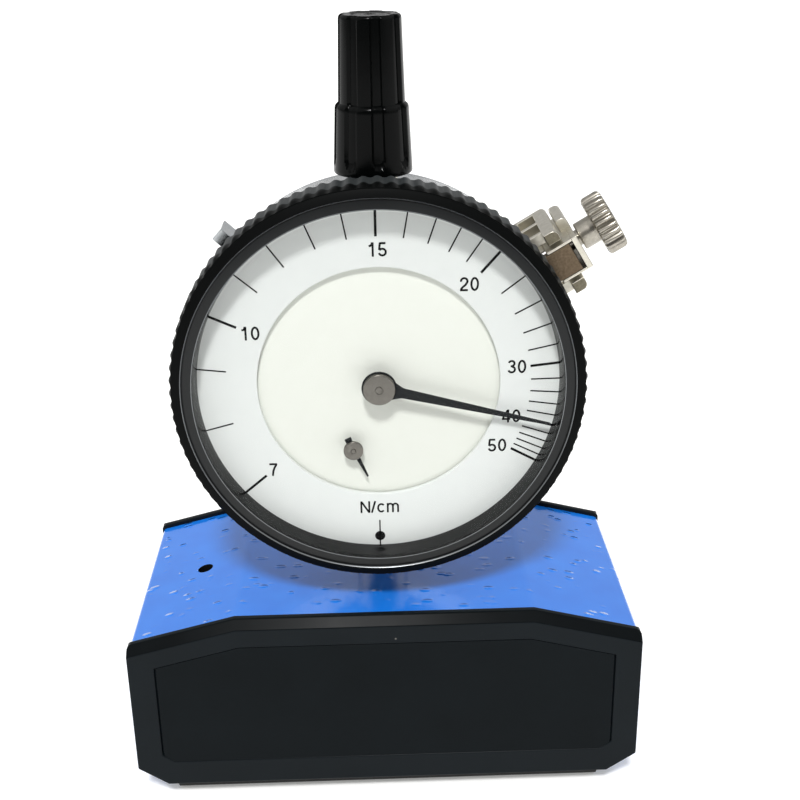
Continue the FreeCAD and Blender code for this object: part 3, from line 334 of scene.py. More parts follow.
# %% Enamel finish
DROP_SPACING_MM = 1.9
DROP_HEIGHT_MM = 0.2

enamel, tree, shader, points = new_finish(
    "blue_stoving_enamel",
    {"Roughness": 0.22, "IOR": 1.5, "Coat Weight": 1.0, "Coat Roughness": 0.06, "Coat IOR": 1.5})
drawn = add(tree, "Mapping", {"Scale": (0.6, 1, 1), "Rotation": (0, 0, -0.5)}, {"Vector": points})
drops = add(tree, "TexVoronoi", {"feature": "SMOOTH_F1", "Scale": pattern_scale(DROP_SPACING_MM),
                                 "Smoothness": 0.2, "Randomness": 1.0},
            {"Vector": drawn.outputs["Vector"]})
dome = add(tree, "MapRange", {"interpolation_type": "SMOOTHSTEP", "From Min": 0.34,
                              "From Max": 0.06}, {"Value": drops.outputs["Distance"]})
where = add(tree, "TexNoise", {"Scale": pattern_scale(5), "Detail": 1.0}, {"Vector": points})
mask = add(tree, "MapRange", {"interpolation_type": "SMOOTHSTEP", "From Min": 0.42,
                              "From Max": 0.56}, {"Value": where.outputs["Fac"]})
flecks = add(tree, "Math", {"operation": "MULTIPLY"})
tree.links.new(dome.outputs["Result"], flecks.inputs[0])
tree.links.new(mask.outputs["Result"], flecks.inputs[1])
paint = add(tree, "MixRGB", {"Color1": colour("#0f70da"), "Color2": colour("#1a80ea")},
            {"Fac": where.outputs["Fac"]})
tree.links.new(paint.outputs["Color"], shader.inputs["Base Color"])
skin = add(tree, "Bump", {"Strength": 1.0, "Distance": DROP_HEIGHT_MM * MM},
           {"Height": flecks.outputs["Value"]})
tree.links.new(skin.outputs["Normal"], shader.inputs["Normal"])
tree.links.new(skin.outputs["Normal"], shader.inputs["Coat Normal"])
print("Enamel drops every", DROP_SPACING_MM, "mm")


# %% [markdown]
# Metals
#
# A bare metal has no colour of its own apart from what it mirrors, so its base colour is the tint
# of its reflection and metallic is 1. What tells one from another is how it was finished: turned,
# ground, plated or blasted. Fine marks blur the mirror, which roughness does, and a weak grain
# makes the sheen live. The IOR stays at its default.
#
# Each line below starts from the real metal: warm white for nickel, cold white for chrome, grey
# for steel and zinc, yellow for brass, brown for bronze. The dark brown nickel of the brake block
# and of the arm ends is painted shade, and those two are blurrier.

# %% Metal finishes
def metal(name, base, worn, roughness, mark_mm, mark_height_mm=0.004, stretch=(1, 1, 1)):
    """Bare or plated metal with marks of a given size, drawn out along an axis by stretch."""
    material, tree, shader, points = new_finish(name, {"Metallic": 1.0, "Roughness": roughness})
    drawn = add(tree, "Mapping", {"Scale": stretch}, {"Vector": points})
    marks, tint = tinted(tree, shader, drawn.outputs["Vector"], mark_mm, 4.0, base, worn)
    patchy(tree, shader, marks, roughness - 0.08, roughness + 0.12)
    relief(tree, shader, marks, 0.4, mark_height_mm)
    return material


nickel = metal("satin_nickel_plate", "#e3dfd3", "#c2bdaf", 0.32, 0.6)
screw_nickel = metal("dulled_nickel_screw", "#bdb8ad", "#8f8a80", 0.28, 0.5)
# Painted shade: the brake block sits in the shade of the yoke, so its nickel is a dark brown
block_nickel_painted_shade = metal("nickel_block_painted_shade", "#80705e", "#544838", 0.40, 0.35, 0.02, (1, 0.2, 1))
# Painted shade: a darker nickel for the front faces of the arm ends
arm_end_painted_shade = metal("nickel_arm_end_painted_shade", "#8b8573", "#5d584b", 0.40, 0.3, 0.02)
cut_edge = metal("bright_cut_aluminium_edge", "#85888a", "#727577", 0.34, 0.3, 0.001)
chrome = metal("chrome_plated_brass", "#d3d6d8", "#c2c6c9", 0.16, 2.0, 0.002)
hub_steel = metal("turned_stainless_steel", "#84817b", "#6a6761", 0.34, 0.4)
ground_steel = metal("ground_steel", "#b9b9b6", "#9c9c99", 0.30, 0.4, 0.004, (0.06, 1, 1))
frame_steel = metal("milled_steel", "#8f9194", "#7c7e80", 0.42, 0.8)
cover_zinc = metal("zinc_plated_sheet", "#a9adb0", "#94999c", 0.38, 2.5)
spring_blue = metal("blued_spring_steel", "#454b58", "#343b4b", 0.28, 0.5, 0.002, (0.1, 1, 1))
bronze = metal("sintered_bronze", "#a9794b", "#8a5f38", 0.45, 0.3)
brass = metal("stamped_brass", "#d8b567", "#c4a052", 0.30, 0.5)
print("Metal finishes ready")

# %% [markdown]
# Black parts of the gauge
#
# The bezel is aluminium, turned, knurled and anodised. Its slope is near black, its face satin,
# its inner wall polished so that it mirrors the dial, and the back half of its knurl is painted a
# lighter grey as a painted highlight. The dust cap is moulded phenolic resin, glossy, with the
# faint waviness of a moulding. The hands are stamped brass, sprayed matt black, and the marks on
# the dial are ink.

# %% Gauge blacks
bezel_black = satin_black("black_anodised_bezel", "#030404", "#070808", 0.45, 0.4, 0.006, 0.05)
bezel_satin = satin_black("satin_black_bezel_face", "#0c0e0f", "#141617", 0.34, 0.3, 0.004, 0.3)
# Painted highlight: a lighter grey for the back half of the knurl, standing in for the light on
# its lands
knurl_painted_highlight = satin_black("black_knurl_painted_highlight", "#222526", "#303435", 0.5, 0.5, 0.01, 0.3)
wall_black = satin_black("polished_black_bezel_wall", "#0a0b0b", "#101112", 0.2, 2.0, 0.002, 0.3)
hand_black = satin_black("matt_black_hand", "#15181a", "#1b1e1f", 0.55, 0.3, 0.004, 0.2)
# The same black also marks the screw slots on the case back, as painted shade.
ink_and_slot_shade_black = satin_black("black_dial_ink_and_slot_shade", "#060607", "#0e0e0e", 0.6, 0.3, 0.001, 0.15)

resin, tree, shader, points = new_finish(
    "moulded_phenolic_cap", {"Roughness": 0.2, "IOR": 1.56, "Specular IOR Level": 0.07})
wave, tint = tinted(tree, shader, points, 3.5, 2.0, "#020303", "#050606")
relief(tree, shader, wave, 0.5, 0.03)
print("Gauge blacks ready")

# %% [markdown]
# Dial enamel and acrylic
#
# The dial is brass sheet under white lacquer. The outer ring is a cool white and the fixed disc a
# warmer one, both with the slight mottle of sprayed lacquer. No lacquer is pure white, so both
# stay a step below it and keep room for the shade of the rim. The window is clear acrylic: nearly
# all light goes straight through, so it is mostly transparent with a faint gloss.

# %% Dial whites and the window
def dial_lacquer(name, light, shade):
    material, tree, shader, points = new_finish(name, {"Roughness": 0.42, "IOR": 1.47})
    mottle, tint = tinted(tree, shader, points, 1.2, 3.0, light, shade)
    relief(tree, shader, mottle, 0.3, 0.004)
    return material


ring_white = dial_lacquer("white_dial_lacquer", "#dfe3e0", "#d9dddb")
disc_white = dial_lacquer("cream_dial_lacquer", "#e4e7df", "#dfe2d9")

acrylic, tree, shader, points = new_finish(
    "clear_acrylic_window", {"Base Color": colour("#101010"), "IOR": 1.49, "Alpha": 0.04})
haze = add(tree, "TexNoise", {"Scale": pattern_scale(12)}, {"Vector": points})
patchy(tree, shader, haze.outputs["Fac"], 0.02, 0.08)
print("Dial finishes ready")


# %% [markdown]
# Places to build at
#
# A flat-laid drawing is easier than one in space. The dial's own axes are x to the right, y up
# and z towards the reader, from the front of the scale ring. The places come from the model.

# %% Places
def node_box(node):
    """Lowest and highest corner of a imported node, in mm."""
    low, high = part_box(node)
    return Vector(low) / MM, Vector(high) / MM


def axes(x_axis, y_axis, origin):
    """A place with the given x and y axes; its z axis is square to both."""
    x_axis, y_axis = Vector(x_axis), Vector(y_axis)
    place = Matrix((x_axis, y_axis, x_axis.cross(y_axis))).transposed().to_4x4()
    return Matrix.Translation(origin) @ place


scale_low, scale_high = node_box("scale_ring")
dial_centre = Vector((0, scale_low.y, (scale_low.z + scale_high.z) / 2))
DIAL = axes((1, 0, 0), (0, 0, 1), dial_centre)
UPRIGHT = Matrix.Identity(4)
END_ON = axes((1, 0, 0), (0, 0, 1), Vector((0, 0, 0)))
SIDE_ON = axes((0, 1, 0), (0, 0, 1), Vector((0, 0, 0)))
HALF_TURN = Matrix.Rotation(math.pi, 4, "Z")
print("Dial centre in mm:", [round(v, 2) for v in dial_centre])

# %% [markdown]
# The end plates
#
# Each end plate is a slab with a wide bevel along its three top edges and a shallow recess that
# holds a thin panel, nearly flush, with a fine groove left at its two ends. Its outline has eight
# corners, so front face, bevel and recess are all strips between rings of eight corners. A bevel
# modifier rounds the edges, and a weight on each edge says by how much.

# %% Outline of an end plate
plate_low, plate_high = node_box("front_end_plate")
HALF_W = plate_high.x
LOW_HALF_W = 33.4
TOP_HALF_W = 21.9
PLATE_FOOT = plate_low.z
PLATE_TOP = plate_high.z
CORNER_Z = 5.8
SHOULDER_Z = 26.9
PLATE_BEVEL = 1.3
RECESS_INSET = 4.2
RECESS_DEPTH = 0.5
SIDE_GROOVE_W = 0.3
GROOVES = [0.02, SIDE_GROOVE_W, 0.02, 0.02, 0.02, SIDE_GROOVE_W, 0.02, 0.02]
SHOULDER_ROUND = 0.75
PLATE_EDGE = 0.2
PANEL_SUNK = 0.01
PLATE_FRONT = plate_low.y
PLATE_BACK = plate_high.y

plate_outline = [(-LOW_HALF_W, PLATE_FOOT), (-HALF_W, CORNER_Z), (-HALF_W, SHOULDER_Z),
                 (-TOP_HALF_W, PLATE_TOP), (TOP_HALF_W, PLATE_TOP), (HALF_W, SHOULDER_Z),
                 (HALF_W, CORNER_Z), (LOW_HALF_W, PLATE_FOOT)]


def inset(points, distances):
    """A clockwise outline with each side moved in by its own distance."""
    sides = []
    for (x0, y0), (x1, y1), distance in zip(points, points[1:] + points[:1], distances):
        along = Vector((x1 - x0, y1 - y0)).normalized()
        sides.append((Vector((x0 + along.y * distance, y0 - along.x * distance)), along))
    moved = []
    for (a, u), (b, v) in zip(sides[-1:] + sides[:-1], sides):
        moved.append(a + u * ((b - a).cross(v) / u.cross(v)))
    return [(point.x, point.y) for point in moved]


# %% End plates and panels
def end_plate(name, place, replaces):
    """A slab with three bevelled top edges and the recess of its panel."""
    shape = bmesh.new()
    bevels = [PLATE_BEVEL if 2 <= side <= 4 else 0 for side in range(8)]
    face_ring = inset(plate_outline, bevels)
    recess_ring = inset(plate_outline, [RECESS_INSET - gap for gap in GROOVES])
    floor_y = PLATE_FRONT + RECESS_DEPTH
    face = [put(shape, place, x, PLATE_FRONT, z) for x, z in face_ring]
    rim = [put(shape, place, x, PLATE_FRONT, z) for x, z in recess_ring]
    floor = [put(shape, place, x, floor_y, z) for x, z in recess_ring]
    back = [put(shape, place, x, PLATE_BACK, z) for x, z in plate_outline]
    crest = {k: put(shape, place, plate_outline[k][0], PLATE_FRONT + PLATE_BEVEL,
                    plate_outline[k][1]) for k in range(2, 6)}
    shape.faces.new(floor)
    shape.faces.new(back)
    for k in range(8):
        after = (k + 1) % 8
        shape.faces.new([face[k], face[after], rim[after], rim[k]])
        shape.faces.new([rim[k], rim[after], floor[after], floor[k]])
        edge = [face[k], face[after], back[after], back[k]]
        if k in crest and after in crest:
            # The bevel faces take the second finish, whose darker black is painted shade.
            slope = shape.faces.new([face[k], face[after], crest[after], crest[k]])
            slope.material_index = 1
            edge[:2] = [crest[k], crest[after]]
        elif after in crest:
            edge.insert(2, crest[after])
        elif k in crest:
            edge.append(crest[k])
        shape.faces.new(edge)
    bmesh.ops.recalc_face_normals(shape, faces=shape.faces[:])
    weight = shape.edges.layers.float.new("bevel_weight_edge")
    for edge in shape.edges:
        if edge.calc_face_angle() > SHARP_ANGLE:
            edge[weight] = PLATE_EDGE / SHOULDER_ROUND
    for k in (2, 5):
        shape.edges.get((crest[k], back[k]))[weight] = 1.0
    made = piece(name, shape, "base", [plate_black, bevel_painted_shade_black],
                 [replaces], SHOULDER_ROUND)
    made.modifiers["edge"].limit_method = "WEIGHT"
    return made


def panel(name, place, replaces):
    """The thin blank panel in the recess."""
    shape = bmesh.new()
    flat = place @ END_ON
    outline = inset(plate_outline, [RECESS_INSET] * 8)
    extruded(shape, flat, outline, -PLATE_FRONT - RECESS_DEPTH, -PLATE_FRONT - PANEL_SUNK)
    return piece(name, shape, "base", [panel_black], [replaces], 0.04)


end_plate("front_plate", UPRIGHT, "front_end_plate")
end_plate("rear_plate", HALF_TURN, "rear_end_plate")
panel("front_panel", UPRIGHT, "front_panel_inlay")
panel("rear_panel", HALF_TURN, "rear_panel_inlay")

# %% [markdown]
# The enamelled housing
#
# One strip of sheet is folded over the base between the end plates: two soft shoulders, two wide
# soft bends at the crown. It is drawn as the bent strip seen end on and extruded along the meter's
# depth. Two holes are cut with a boolean: one for the gauge's stem and a small one through which
# the spring is trimmed. The hole walls take the black of the bars, which is painted shade inside
# the holes.

# %% Housing
shell_low, shell_high = node_box("housing_shell")
TOP_STEP = 0.7
SIDE_STEP = 0.15
SHELL_WALL = 2.2
SHOULDER_R = 0.9
CROWN_R = 5.0
INNER_CROWN_R = CROWN_R - SHELL_WALL
STEM_HOLE_R = 4.3
TRIM_HOLE_X = -28.2
TRIM_HOLE_R = 1.2


def drilled(made, holes):
    """Cuts vertical holes, given as (x, radius), through the top of a piece."""
    cutters = []
    for x, radius in holes:
        shape = bmesh.new()
        turned(shape, Matrix.Translation((x, 0, 0)),
               [(0, SHOULDER_Z - 8), (radius, SHOULDER_Z - 8), (radius, PLATE_TOP + 2),
                (0, PLATE_TOP + 2)], 64)
        bmesh.ops.recalc_face_normals(shape, faces=shape.faces[:])
        mesh = bpy.data.meshes.new("cutter")
        shape.to_mesh(mesh)
        shape.free()
        # The cutters carry the bar black, which the boolean passes to the hole walls as painted
        # shade.
        mesh.materials.append(bar_black_and_hole_shade)
        cutter = bpy.data.objects.new("cutter", mesh)
        bpy.context.collection.objects.link(cutter)
        cut = made.modifiers.new("hole", "BOOLEAN")
        cut.operation = "DIFFERENCE"
        cut.material_mode = "TRANSFER"
        cut.object = cutter
        cutters.append(cutter)
    bpy.context.view_layer.update()
    made_now = made.evaluated_get(bpy.context.evaluated_depsgraph_get())
    cut_mesh = bpy.data.meshes.new_from_object(made_now)
    made.modifiers.clear()
    made.data = cut_mesh
    for cutter in cutters:
        bpy.data.objects.remove(cutter)


steps = [SIDE_STEP, SIDE_STEP, TOP_STEP, TOP_STEP, TOP_STEP, SIDE_STEP, SIDE_STEP, SIDE_STEP]
sheet_outer = inset(plate_outline, steps)
sheet_inner = inset(plate_outline, [step + SHELL_WALL for step in steps])
foot = shell_low.z
bends = [0, SHOULDER_R, CROWN_R, CROWN_R, SHOULDER_R, 0]
inner_bends = [0, 0, INNER_CROWN_R, INNER_CROWN_R, 0, 0]
outer_run = [(sheet_outer[1][0], foot)] + sheet_outer[2:6] + [(sheet_outer[6][0], foot)]
inner_run = [(sheet_inner[1][0], foot)] + sheet_inner[2:6] + [(sheet_inner[6][0], foot)]
strip = [(x, z, r) for (x, z), r in zip(outer_run, bends)]
strip += [(x, z, r) for (x, z), r in reversed(list(zip(inner_run, inner_bends)))]
shape = bmesh.new()
extruded(shape, END_ON, strip, -shell_high.y, -shell_low.y, steps=10)
housing = piece("housing", shape, "base", [enamel], ["housing_shell"])
drilled(housing, [(0, STEM_HOLE_R), (TRIM_HOLE_X, TRIM_HOLE_R)])
print("Housing drilled for stem and trim screw")

# %% [markdown]
# What stands on the mesh
#
# Two support bars with rounded feet carry the meter. Between them the measuring bar, with its
# round lower edge, feels the mesh. All are ground steel bars, drawn end on and extruded along
# their length, and the support bars are blacked.

# %% Bars
for name, node in (("front_foot_bar", "front_support_bar"), ("rear_foot_bar", "rear_support_bar")):
    low, high = node_box(node)
    shape = bmesh.new()
    section = [(low.y, low.z, 1.2), (high.y, low.z, 1.2), (high.y, high.z), (low.y, high.z)]
    extruded(shape, SIDE_ON, section, low.x, high.x)
    piece(name, shape, "base", [bar_black_and_hole_shade], [node], 0.2)

low, high = node_box("measuring_bar")
shape = bmesh.new()
round_r = (high.y - low.y) / 2 - 0.01
section = [(low.y, low.z, round_r), (high.y, low.z, round_r), (high.y, high.z), (low.y, high.z)]
extruded(shape, SIDE_ON, section, low.x, high.x, steps=10)
piece("feeler_bar", shape, "probe", [ground_steel], ["measuring_bar"], 0.2)

# %% [markdown]
# The bezel
#
# The bezel is the black ring that a hand turns to set the dial. Its body is one lathe profile: a
# skirt, a dull slope and a face sunk behind a low rim. Two corners are cut bright. Those and the
# polished inner wall have finishes of their own, chosen by radius. Round its edge runs a coarse
# straight knurl of soft grooves, a grid whose radius dips in each groove. Its back half is painted
# a lighter grey, a painted highlight of the light on its lands, and its front runs out in a small
# black chamfer.

# %% Bezel
BEZEL_R = 28.9
BEAD_R = 28.45
RIM_R = 27.4
FACE_R = 27.1
CUT_R = 27.16
CUT_H = 3.28
MOUTH_R = 25.8
WINDOW_R = 25.3
BEZEL_BORE_R = 26.35
SKIRT_R = 28.0
SKIRT_BACK_H = -6.0
BAND_BACK_H = -3.0
BAND_FRONT_H = 2.9
# Where the painted highlight on the knurl ends
PAINTED_HIGHLIGHT_H = 0.9
BAND_CORE_R = 28.3
BEAD_H = 3.0
RIM_H = 3.4
FACE_H = 3.05
MOUTH_H = 3.35
KNURL_COUNT = 96
KNURL_DEPTH = 0.34
KNURL_TURN = -0.23


def knurl(shape, place, count, radius, depth, stations, start=0.0, material=0):
    """A band of soft grooves. Each station is (height, how far the crest lies below)."""
    shares = [k / 8 - 0.5 for k in range(8)]
    marks = [(share, ((1 - math.cos(2 * math.pi * share)) / 2) ** 1.3) for share in shares]
    rows = []
    for height, lowered in stations:
        row = []
        for tooth in range(count):
            for share, dip in marks:
                angle = 2 * math.pi * (tooth + start + share) / count
                reach = radius - max(depth * dip, lowered)
                row.append(put(shape, place, reach * math.cos(angle), reach * math.sin(angle),
                               height))
        rows.append(row)
    for low, high in zip(rows, rows[1:]):
        for k in range(len(low)):
            after = (k + 1) % len(low)
            face = shape.faces.new([low[k], low[after], high[after], high[k]])
            face.material_index = material


# %% Bezel body
shape = bmesh.new()
turned(shape, DIAL, [
    (BEZEL_BORE_R, SKIRT_BACK_H, 0.15), (SKIRT_R, SKIRT_BACK_H, 0.35), (SKIRT_R, BAND_BACK_H),
    (BAND_CORE_R + 0.05, BAND_BACK_H), (BAND_CORE_R + 0.05, BAND_FRONT_H),
    (BEAD_R, BAND_FRONT_H), (BEAD_R, BEAD_H, 0.04), (RIM_R, RIM_H, 0.05), (RIM_R - 0.1, RIM_H),
    (CUT_R, CUT_H), (FACE_R, FACE_H), (MOUTH_R, MOUTH_H), (MOUTH_R - 0.1, MOUTH_H),
    (MOUTH_R - 0.14, MOUTH_H - 0.06), (WINDOW_R, 0), (BEZEL_BORE_R, 0)], 192)
bezel_zones = [(MOUTH_R - 0.12, 0.1, 3), (MOUTH_R, 3.2, 1), (FACE_R - 0.02, FACE_H, 2),
               (CUT_R - 0.01, FACE_H, 2), (RIM_R - 0.11, CUT_H, 1)]
for face in shape.faces:
    spot = DIAL.inverted() @ (face.calc_center_median() / MM)
    for reach, above, finish in bezel_zones:
        if spot.xy.length < reach and spot.z > above:
            face.material_index = finish
            break
# The back half of the knurl takes the lighter grey finish, a painted highlight.
knurl(shape, DIAL, KNURL_COUNT, BEZEL_R, KNURL_DEPTH,
      [(BAND_BACK_H, BEZEL_R - BAND_CORE_R), (BAND_BACK_H, 0.3), (BAND_BACK_H + 0.3, 0.0),
       (PAINTED_HIGHLIGHT_H, 0.0)], KNURL_TURN, 4)
knurl(shape, DIAL, KNURL_COUNT, BEZEL_R, KNURL_DEPTH,
      [(PAINTED_HIGHLIGHT_H, 0.0), (BAND_FRONT_H - 0.6, 0.0), (BAND_FRONT_H, 0.3),
       (BAND_FRONT_H, BEZEL_R - BAND_CORE_R)], KNURL_TURN)
piece("bezel_ring", shape, "bezel",
      [bezel_black, cut_edge, bezel_satin, wall_black, knurl_painted_highlight], ["bezel"])

# %% [markdown]
# Window, scale ring and fixed disc
#
# The window is a flat acrylic disc. Behind it the scale ring turns with the bezel, and inside it
# lies the fixed disc. Each gets the small bevel that a stamped or turned edge has.

# %% Window and dial sheets
RING_BACK_H = -0.6
RING_INNER_R = 17.0
WINDOW_BACK_H = 2.6
WINDOW_H = 3.3

shape = bmesh.new()
turned(shape, DIAL, [(0, WINDOW_BACK_H), (WINDOW_R, WINDOW_BACK_H), (WINDOW_R, WINDOW_H, 0.12),
                     (0, WINDOW_H)], 160)
piece("window", shape, "bezel", [acrylic], ["crystal"])

shape = bmesh.new()
turned(shape, DIAL, [(RING_INNER_R, RING_BACK_H), (BEZEL_BORE_R, RING_BACK_H),
                     (BEZEL_BORE_R, 0), (RING_INNER_R, 0, 0.12)], 192)
piece("outer_dial", shape, "bezel", [ring_white], ["scale_ring"])

disc_low, disc_high = node_box("dial_disc")
disc_front = dial_centre.y - disc_low.y
DISC_R = 18.4
DISC_T = 0.5
shape = bmesh.new()
turned(shape, DIAL, [(0, disc_front - DISC_T), (DISC_R, disc_front - DISC_T),
                     (DISC_R, disc_front, 0.1), (0, disc_front)], 160)
for side in (-13, 13):
    block(shape, DIAL, (side - 1, side + 1), (-1, 1),
          (dial_centre.y - disc_high.y, disc_front - DISC_T))
piece("inner_dial", shape, "base", [disc_white], ["dial_disc"])

# %% [markdown]
# The print on the scale
#
# Tension is read in newtons per centimetre. The marks crowd together to the right, because the
# bar lifts less and less as the mesh gets tighter. A lift gauge like this follows a rule of the
# form angle = 180 - K / (N + 3.5), where K hardly changes; the marks below use it. The print is a
# thin raised layer of ink, and it belongs to the bezel because the ring turns with it.

# %% Scale marks
PRINT_H = 0.02
TICK_INNER_R = 21.3
TICK_OUTER_R = 25.9
MAIN_TICK_W = 0.36
FINE_TICK_W = 0.20
ZERO_SHIFT = 3.5
CURVE = {7: 3251, 10: 3311, 12: 3343, 15: 3330, 20: 3250, 30: 3216, 40: 3236, 50: 3269}
MAIN_MARKS = (7, 10, 15, 20, 30, 40, 50)
FINE_MARKS = (8, 9, 11, 12, 13, 14, 16, 17, 18, 19, *range(22, 30, 2), *range(32, 40, 2),
              *range(42, 50, 2))


def scale_angle(newtons):
    """Clockwise angle from the top, in degrees, of a mark on the scale."""
    known = sorted(CURVE)
    low = max(n for n in known if n <= newtons)
    high = min(n for n in known if n >= newtons)
    share = (newtons - low) / (high - low) if high > low else 0
    rule = CURVE[low] + (CURVE[high] - CURVE[low]) * share
    return 180 - rule / (newtons + ZERO_SHIFT)


shape = bmesh.new()
for marks, width in ((MAIN_MARKS, MAIN_TICK_W), (FINE_MARKS, FINE_TICK_W)):
    for newtons in marks:
        spoke = DIAL @ Matrix.Rotation(-math.radians(scale_angle(newtons)), 4, "Z")
        block(shape, spoke, (-width / 2, width / 2), (TICK_INNER_R, TICK_OUTER_R),
              (-PRINT_H, PRINT_H))
SET_MARK_X = -0.33
block(shape, DIAL, (SET_MARK_X - 0.1, SET_MARK_X + 0.1), (-25.8, -21.25), (-PRINT_H, PRINT_H))
dot = DIAL @ Matrix.Translation((SET_MARK_X, -23.83, 0))
turned(shape, dot, [(0, -PRINT_H), (0.75, -PRINT_H), (0.75, PRINT_H), (0, PRINT_H)], 40)
print("Scale marks:", len(MAIN_MARKS) + len(FINE_MARKS))

# %% [markdown]
# The numerals
#
# A dial's figures are printed in a plain sans of even stroke. A font would do, but the stroke of
# these is a drawn line of one width, so each figure is a few bands: straight runs and arcs on a
# grid as high as the figure. A band is swept like a rod, with four corners a point.

# %% Bands
def ribbon(shape, place, path, width, depth, closed=False):
    """A flat band of even width along a path of points, depth thick."""
    rows = []
    last = len(path) - 1
    for k, point in enumerate(path):
        ahead = path[(k + 1) % len(path)] - point if k < last or closed else point - path[k - 1]
        back = point - path[k - 1] if k or closed else ahead
        run = (ahead.normalized() + back.normalized()).normalized()
        reach = width / 2 / max(run.dot(ahead.normalized()), 0.5)
        side = Vector((-run.y, run.x)) * reach
        rows.append([put(shape, place, *(point + side * turn), height)
                     for turn, height in ((1, -depth), (-1, -depth), (-1, depth), (1, depth))])
    if closed:
        stitch(shape, rows, 0)
        return
    for low, high in zip(rows, rows[1:]):
        for k in range(4):
            shape.faces.new([low[k], low[(k + 1) % 4], high[(k + 1) % 4], high[k]])
    shape.faces.new(rows[0][::-1])
    shape.faces.new(rows[-1])


def run(*points):
    return [Vector(point) for point in points]


def bow(x, y, half_wide, half_high, first, last):
    """An arc of an oval, from one angle to another in degrees."""
    angles = [math.radians(first + (last - first) * k / 16) for k in range(17)]
    return [Vector((x + half_wide * math.cos(a), y + half_high * math.sin(a))) for a in angles]


# %% Figures
STROKE = 0.145
DIGIT = 0.715
FIGURES = {
    "0": (DIGIT, [bow(0.36, 0.5, 0.228, 0.428, 90, 450)[:-1]]),
    "1": (DIGIT, [run((0.41, 0), (0.41, 1)),
                  run((0.14, 0.745), (0.26, 0.765), (0.345, 0.85), (0.375, 1))]),
    "2": (DIGIT, [bow(0.355, 0.715, 0.225, 0.213, 190, -32)
                  + run((0.45, 0.45), (0.28, 0.31), (0.17, 0.2), (0.13, 0.07)),
                  run((0.065, 0.0725), (0.605, 0.0725))]),
    "3": (DIGIT, [bow(0.345, 0.74, 0.195, 0.19, 165, -78), run((0.27, 0.53), (0.38, 0.53)),
                  bow(0.35, 0.285, 0.228, 0.213, 82, -165)]),
    "4": (DIGIT, [run((0.455, 0.95), (0.1, 0.29)), run((0.04, 0.275), (0.65, 0.275)),
                  run((0.49, 0), (0.49, 1))]),
    "5": (DIGIT, [run((0.155, 0.93), (0.575, 0.93)), run((0.185, 0.96), (0.135, 0.46)),
                  bow(0.345, 0.305, 0.235, 0.235, 146, -165)]),
    "7": (DIGIT, [run((0.075, 0.93), (0.625, 0.93)),
                  run((0.6, 0.92), (0.44, 0.66), (0.335, 0.36), (0.285, 0))]),
    "N": (0.80, [run((0.075, 0), (0.075, 1)), run((0.085, 0.98), (0.675, 0.02)),
                 run((0.685, 0), (0.685, 1))]),
    "/": (0.46, [run((0.075, 0), (0.355, 1))]),
    "c": (0.70, [bow(0.355, 0.405, 0.25, 0.33, 42, 318)]),
    "m": (1.03, [run((0.155, 0), (0.155, 0.8)),
                 bow(0.354, 0.53, 0.199, 0.215, 180, 0) + run((0.553, 0)),
                 bow(0.752, 0.53, 0.199, 0.215, 180, 0) + run((0.951, 0))]),
}
NUMERAL_H = 1.98
NUMERAL_PLACES = {"15": (0.19, 19.49), "10": (-17.51, 8.03), "7": (-15.37, -12.66),
                  "20": (12.6, 14.34), "30": (19.29, 2.18), "40": (18.63, -5.28),
                  "50": (16.68, -9.75)}
UNIT_PLACE = (-0.3, -19.1)
UNIT_H = 1.88


def lettered(shape, place, words, centre, height):
    """Draws words of a given height in mm, centred on a point of the place."""
    start = -sum(FIGURES[sign][0] for sign in words) / 2
    spot = place @ Matrix.Translation((*centre, 0)) @ Matrix.Diagonal((height, height, 1, 1))
    for sign in words:
        advance, bands = FIGURES[sign]
        for band in bands:
            path = [point + Vector((start, -0.5)) for point in band]
            ribbon(shape, spot, path, STROKE, PRINT_H, sign == "0")
        start += advance


for words, centre in NUMERAL_PLACES.items():
    lettered(shape, DIAL, words, centre, NUMERAL_H)
lettered(shape, DIAL, "N/cm", UNIT_PLACE, UNIT_H)
piece("scale_print", shape, "bezel", [ink_and_slot_shade_black])

# %% [markdown]
# The long hand
#
# The long hand is stamped from thin sheet: a ring round the hub that flows into a slim taper. The
# hub is turned steel, pressed on the arbor, and the arbor's end shows as a dot in a fine groove.

# %% Long hand
HAND_ANGLE = 104.2
HAND_L = 24.9
HAND_RING_R = 2.45
HAND_ROOT_W = 1.45
HAND_TIP_W = 0.35
HAND_FILLET_W = 3.3
HUB_R = 2.25
ARBOR_DOT_R = 0.5
hub_low = node_box("pointer_hub")[0]
hand_low, hand_high = node_box("main_pointer")
hub_front = dial_centre.y - hub_low.y
hand_front = dial_centre.y - hand_low.y
hand_back = dial_centre.y - hand_high.y

hand_place = DIAL @ Matrix.Rotation(-math.radians(HAND_ANGLE), 4, "Z")
root, tip, flare = HAND_ROOT_W / 2, HAND_TIP_W / 2, HAND_FILLET_W / 2
shape = bmesh.new()
hand_outline = [(-flare, 1.2), (-root, HAND_RING_R + 0.9, 1.6), (-tip, HAND_L - tip),
                (0, HAND_L), (tip, HAND_L - tip), (root, HAND_RING_R + 0.9, 1.6), (flare, 1.2)]
extruded(shape, hand_place, hand_outline, hand_back, hand_front)
turned(shape, DIAL, [(0, hand_back), (HAND_RING_R, hand_back), (HAND_RING_R, hand_front, 0.08),
                     (0, hand_front)], 64)
piece("long_hand", shape, "pointer", [hand_black], ["main_pointer"], 0.05)

shape = bmesh.new()
turned(shape, DIAL, [
    (0, hand_front), (HUB_R, hand_front), (HUB_R, hub_front - 0.02, 0.15),
    (ARBOR_DOT_R + 0.12, hub_front - 0.02), (ARBOR_DOT_R + 0.12, hub_front - 0.14),
    (ARBOR_DOT_R, hub_front - 0.14), (ARBOR_DOT_R, hub_front, 0.1), (0, hub_front)], 72)
piece("long_hand_hub", shape, "pointer", [hub_steel], ["pointer_hub"])

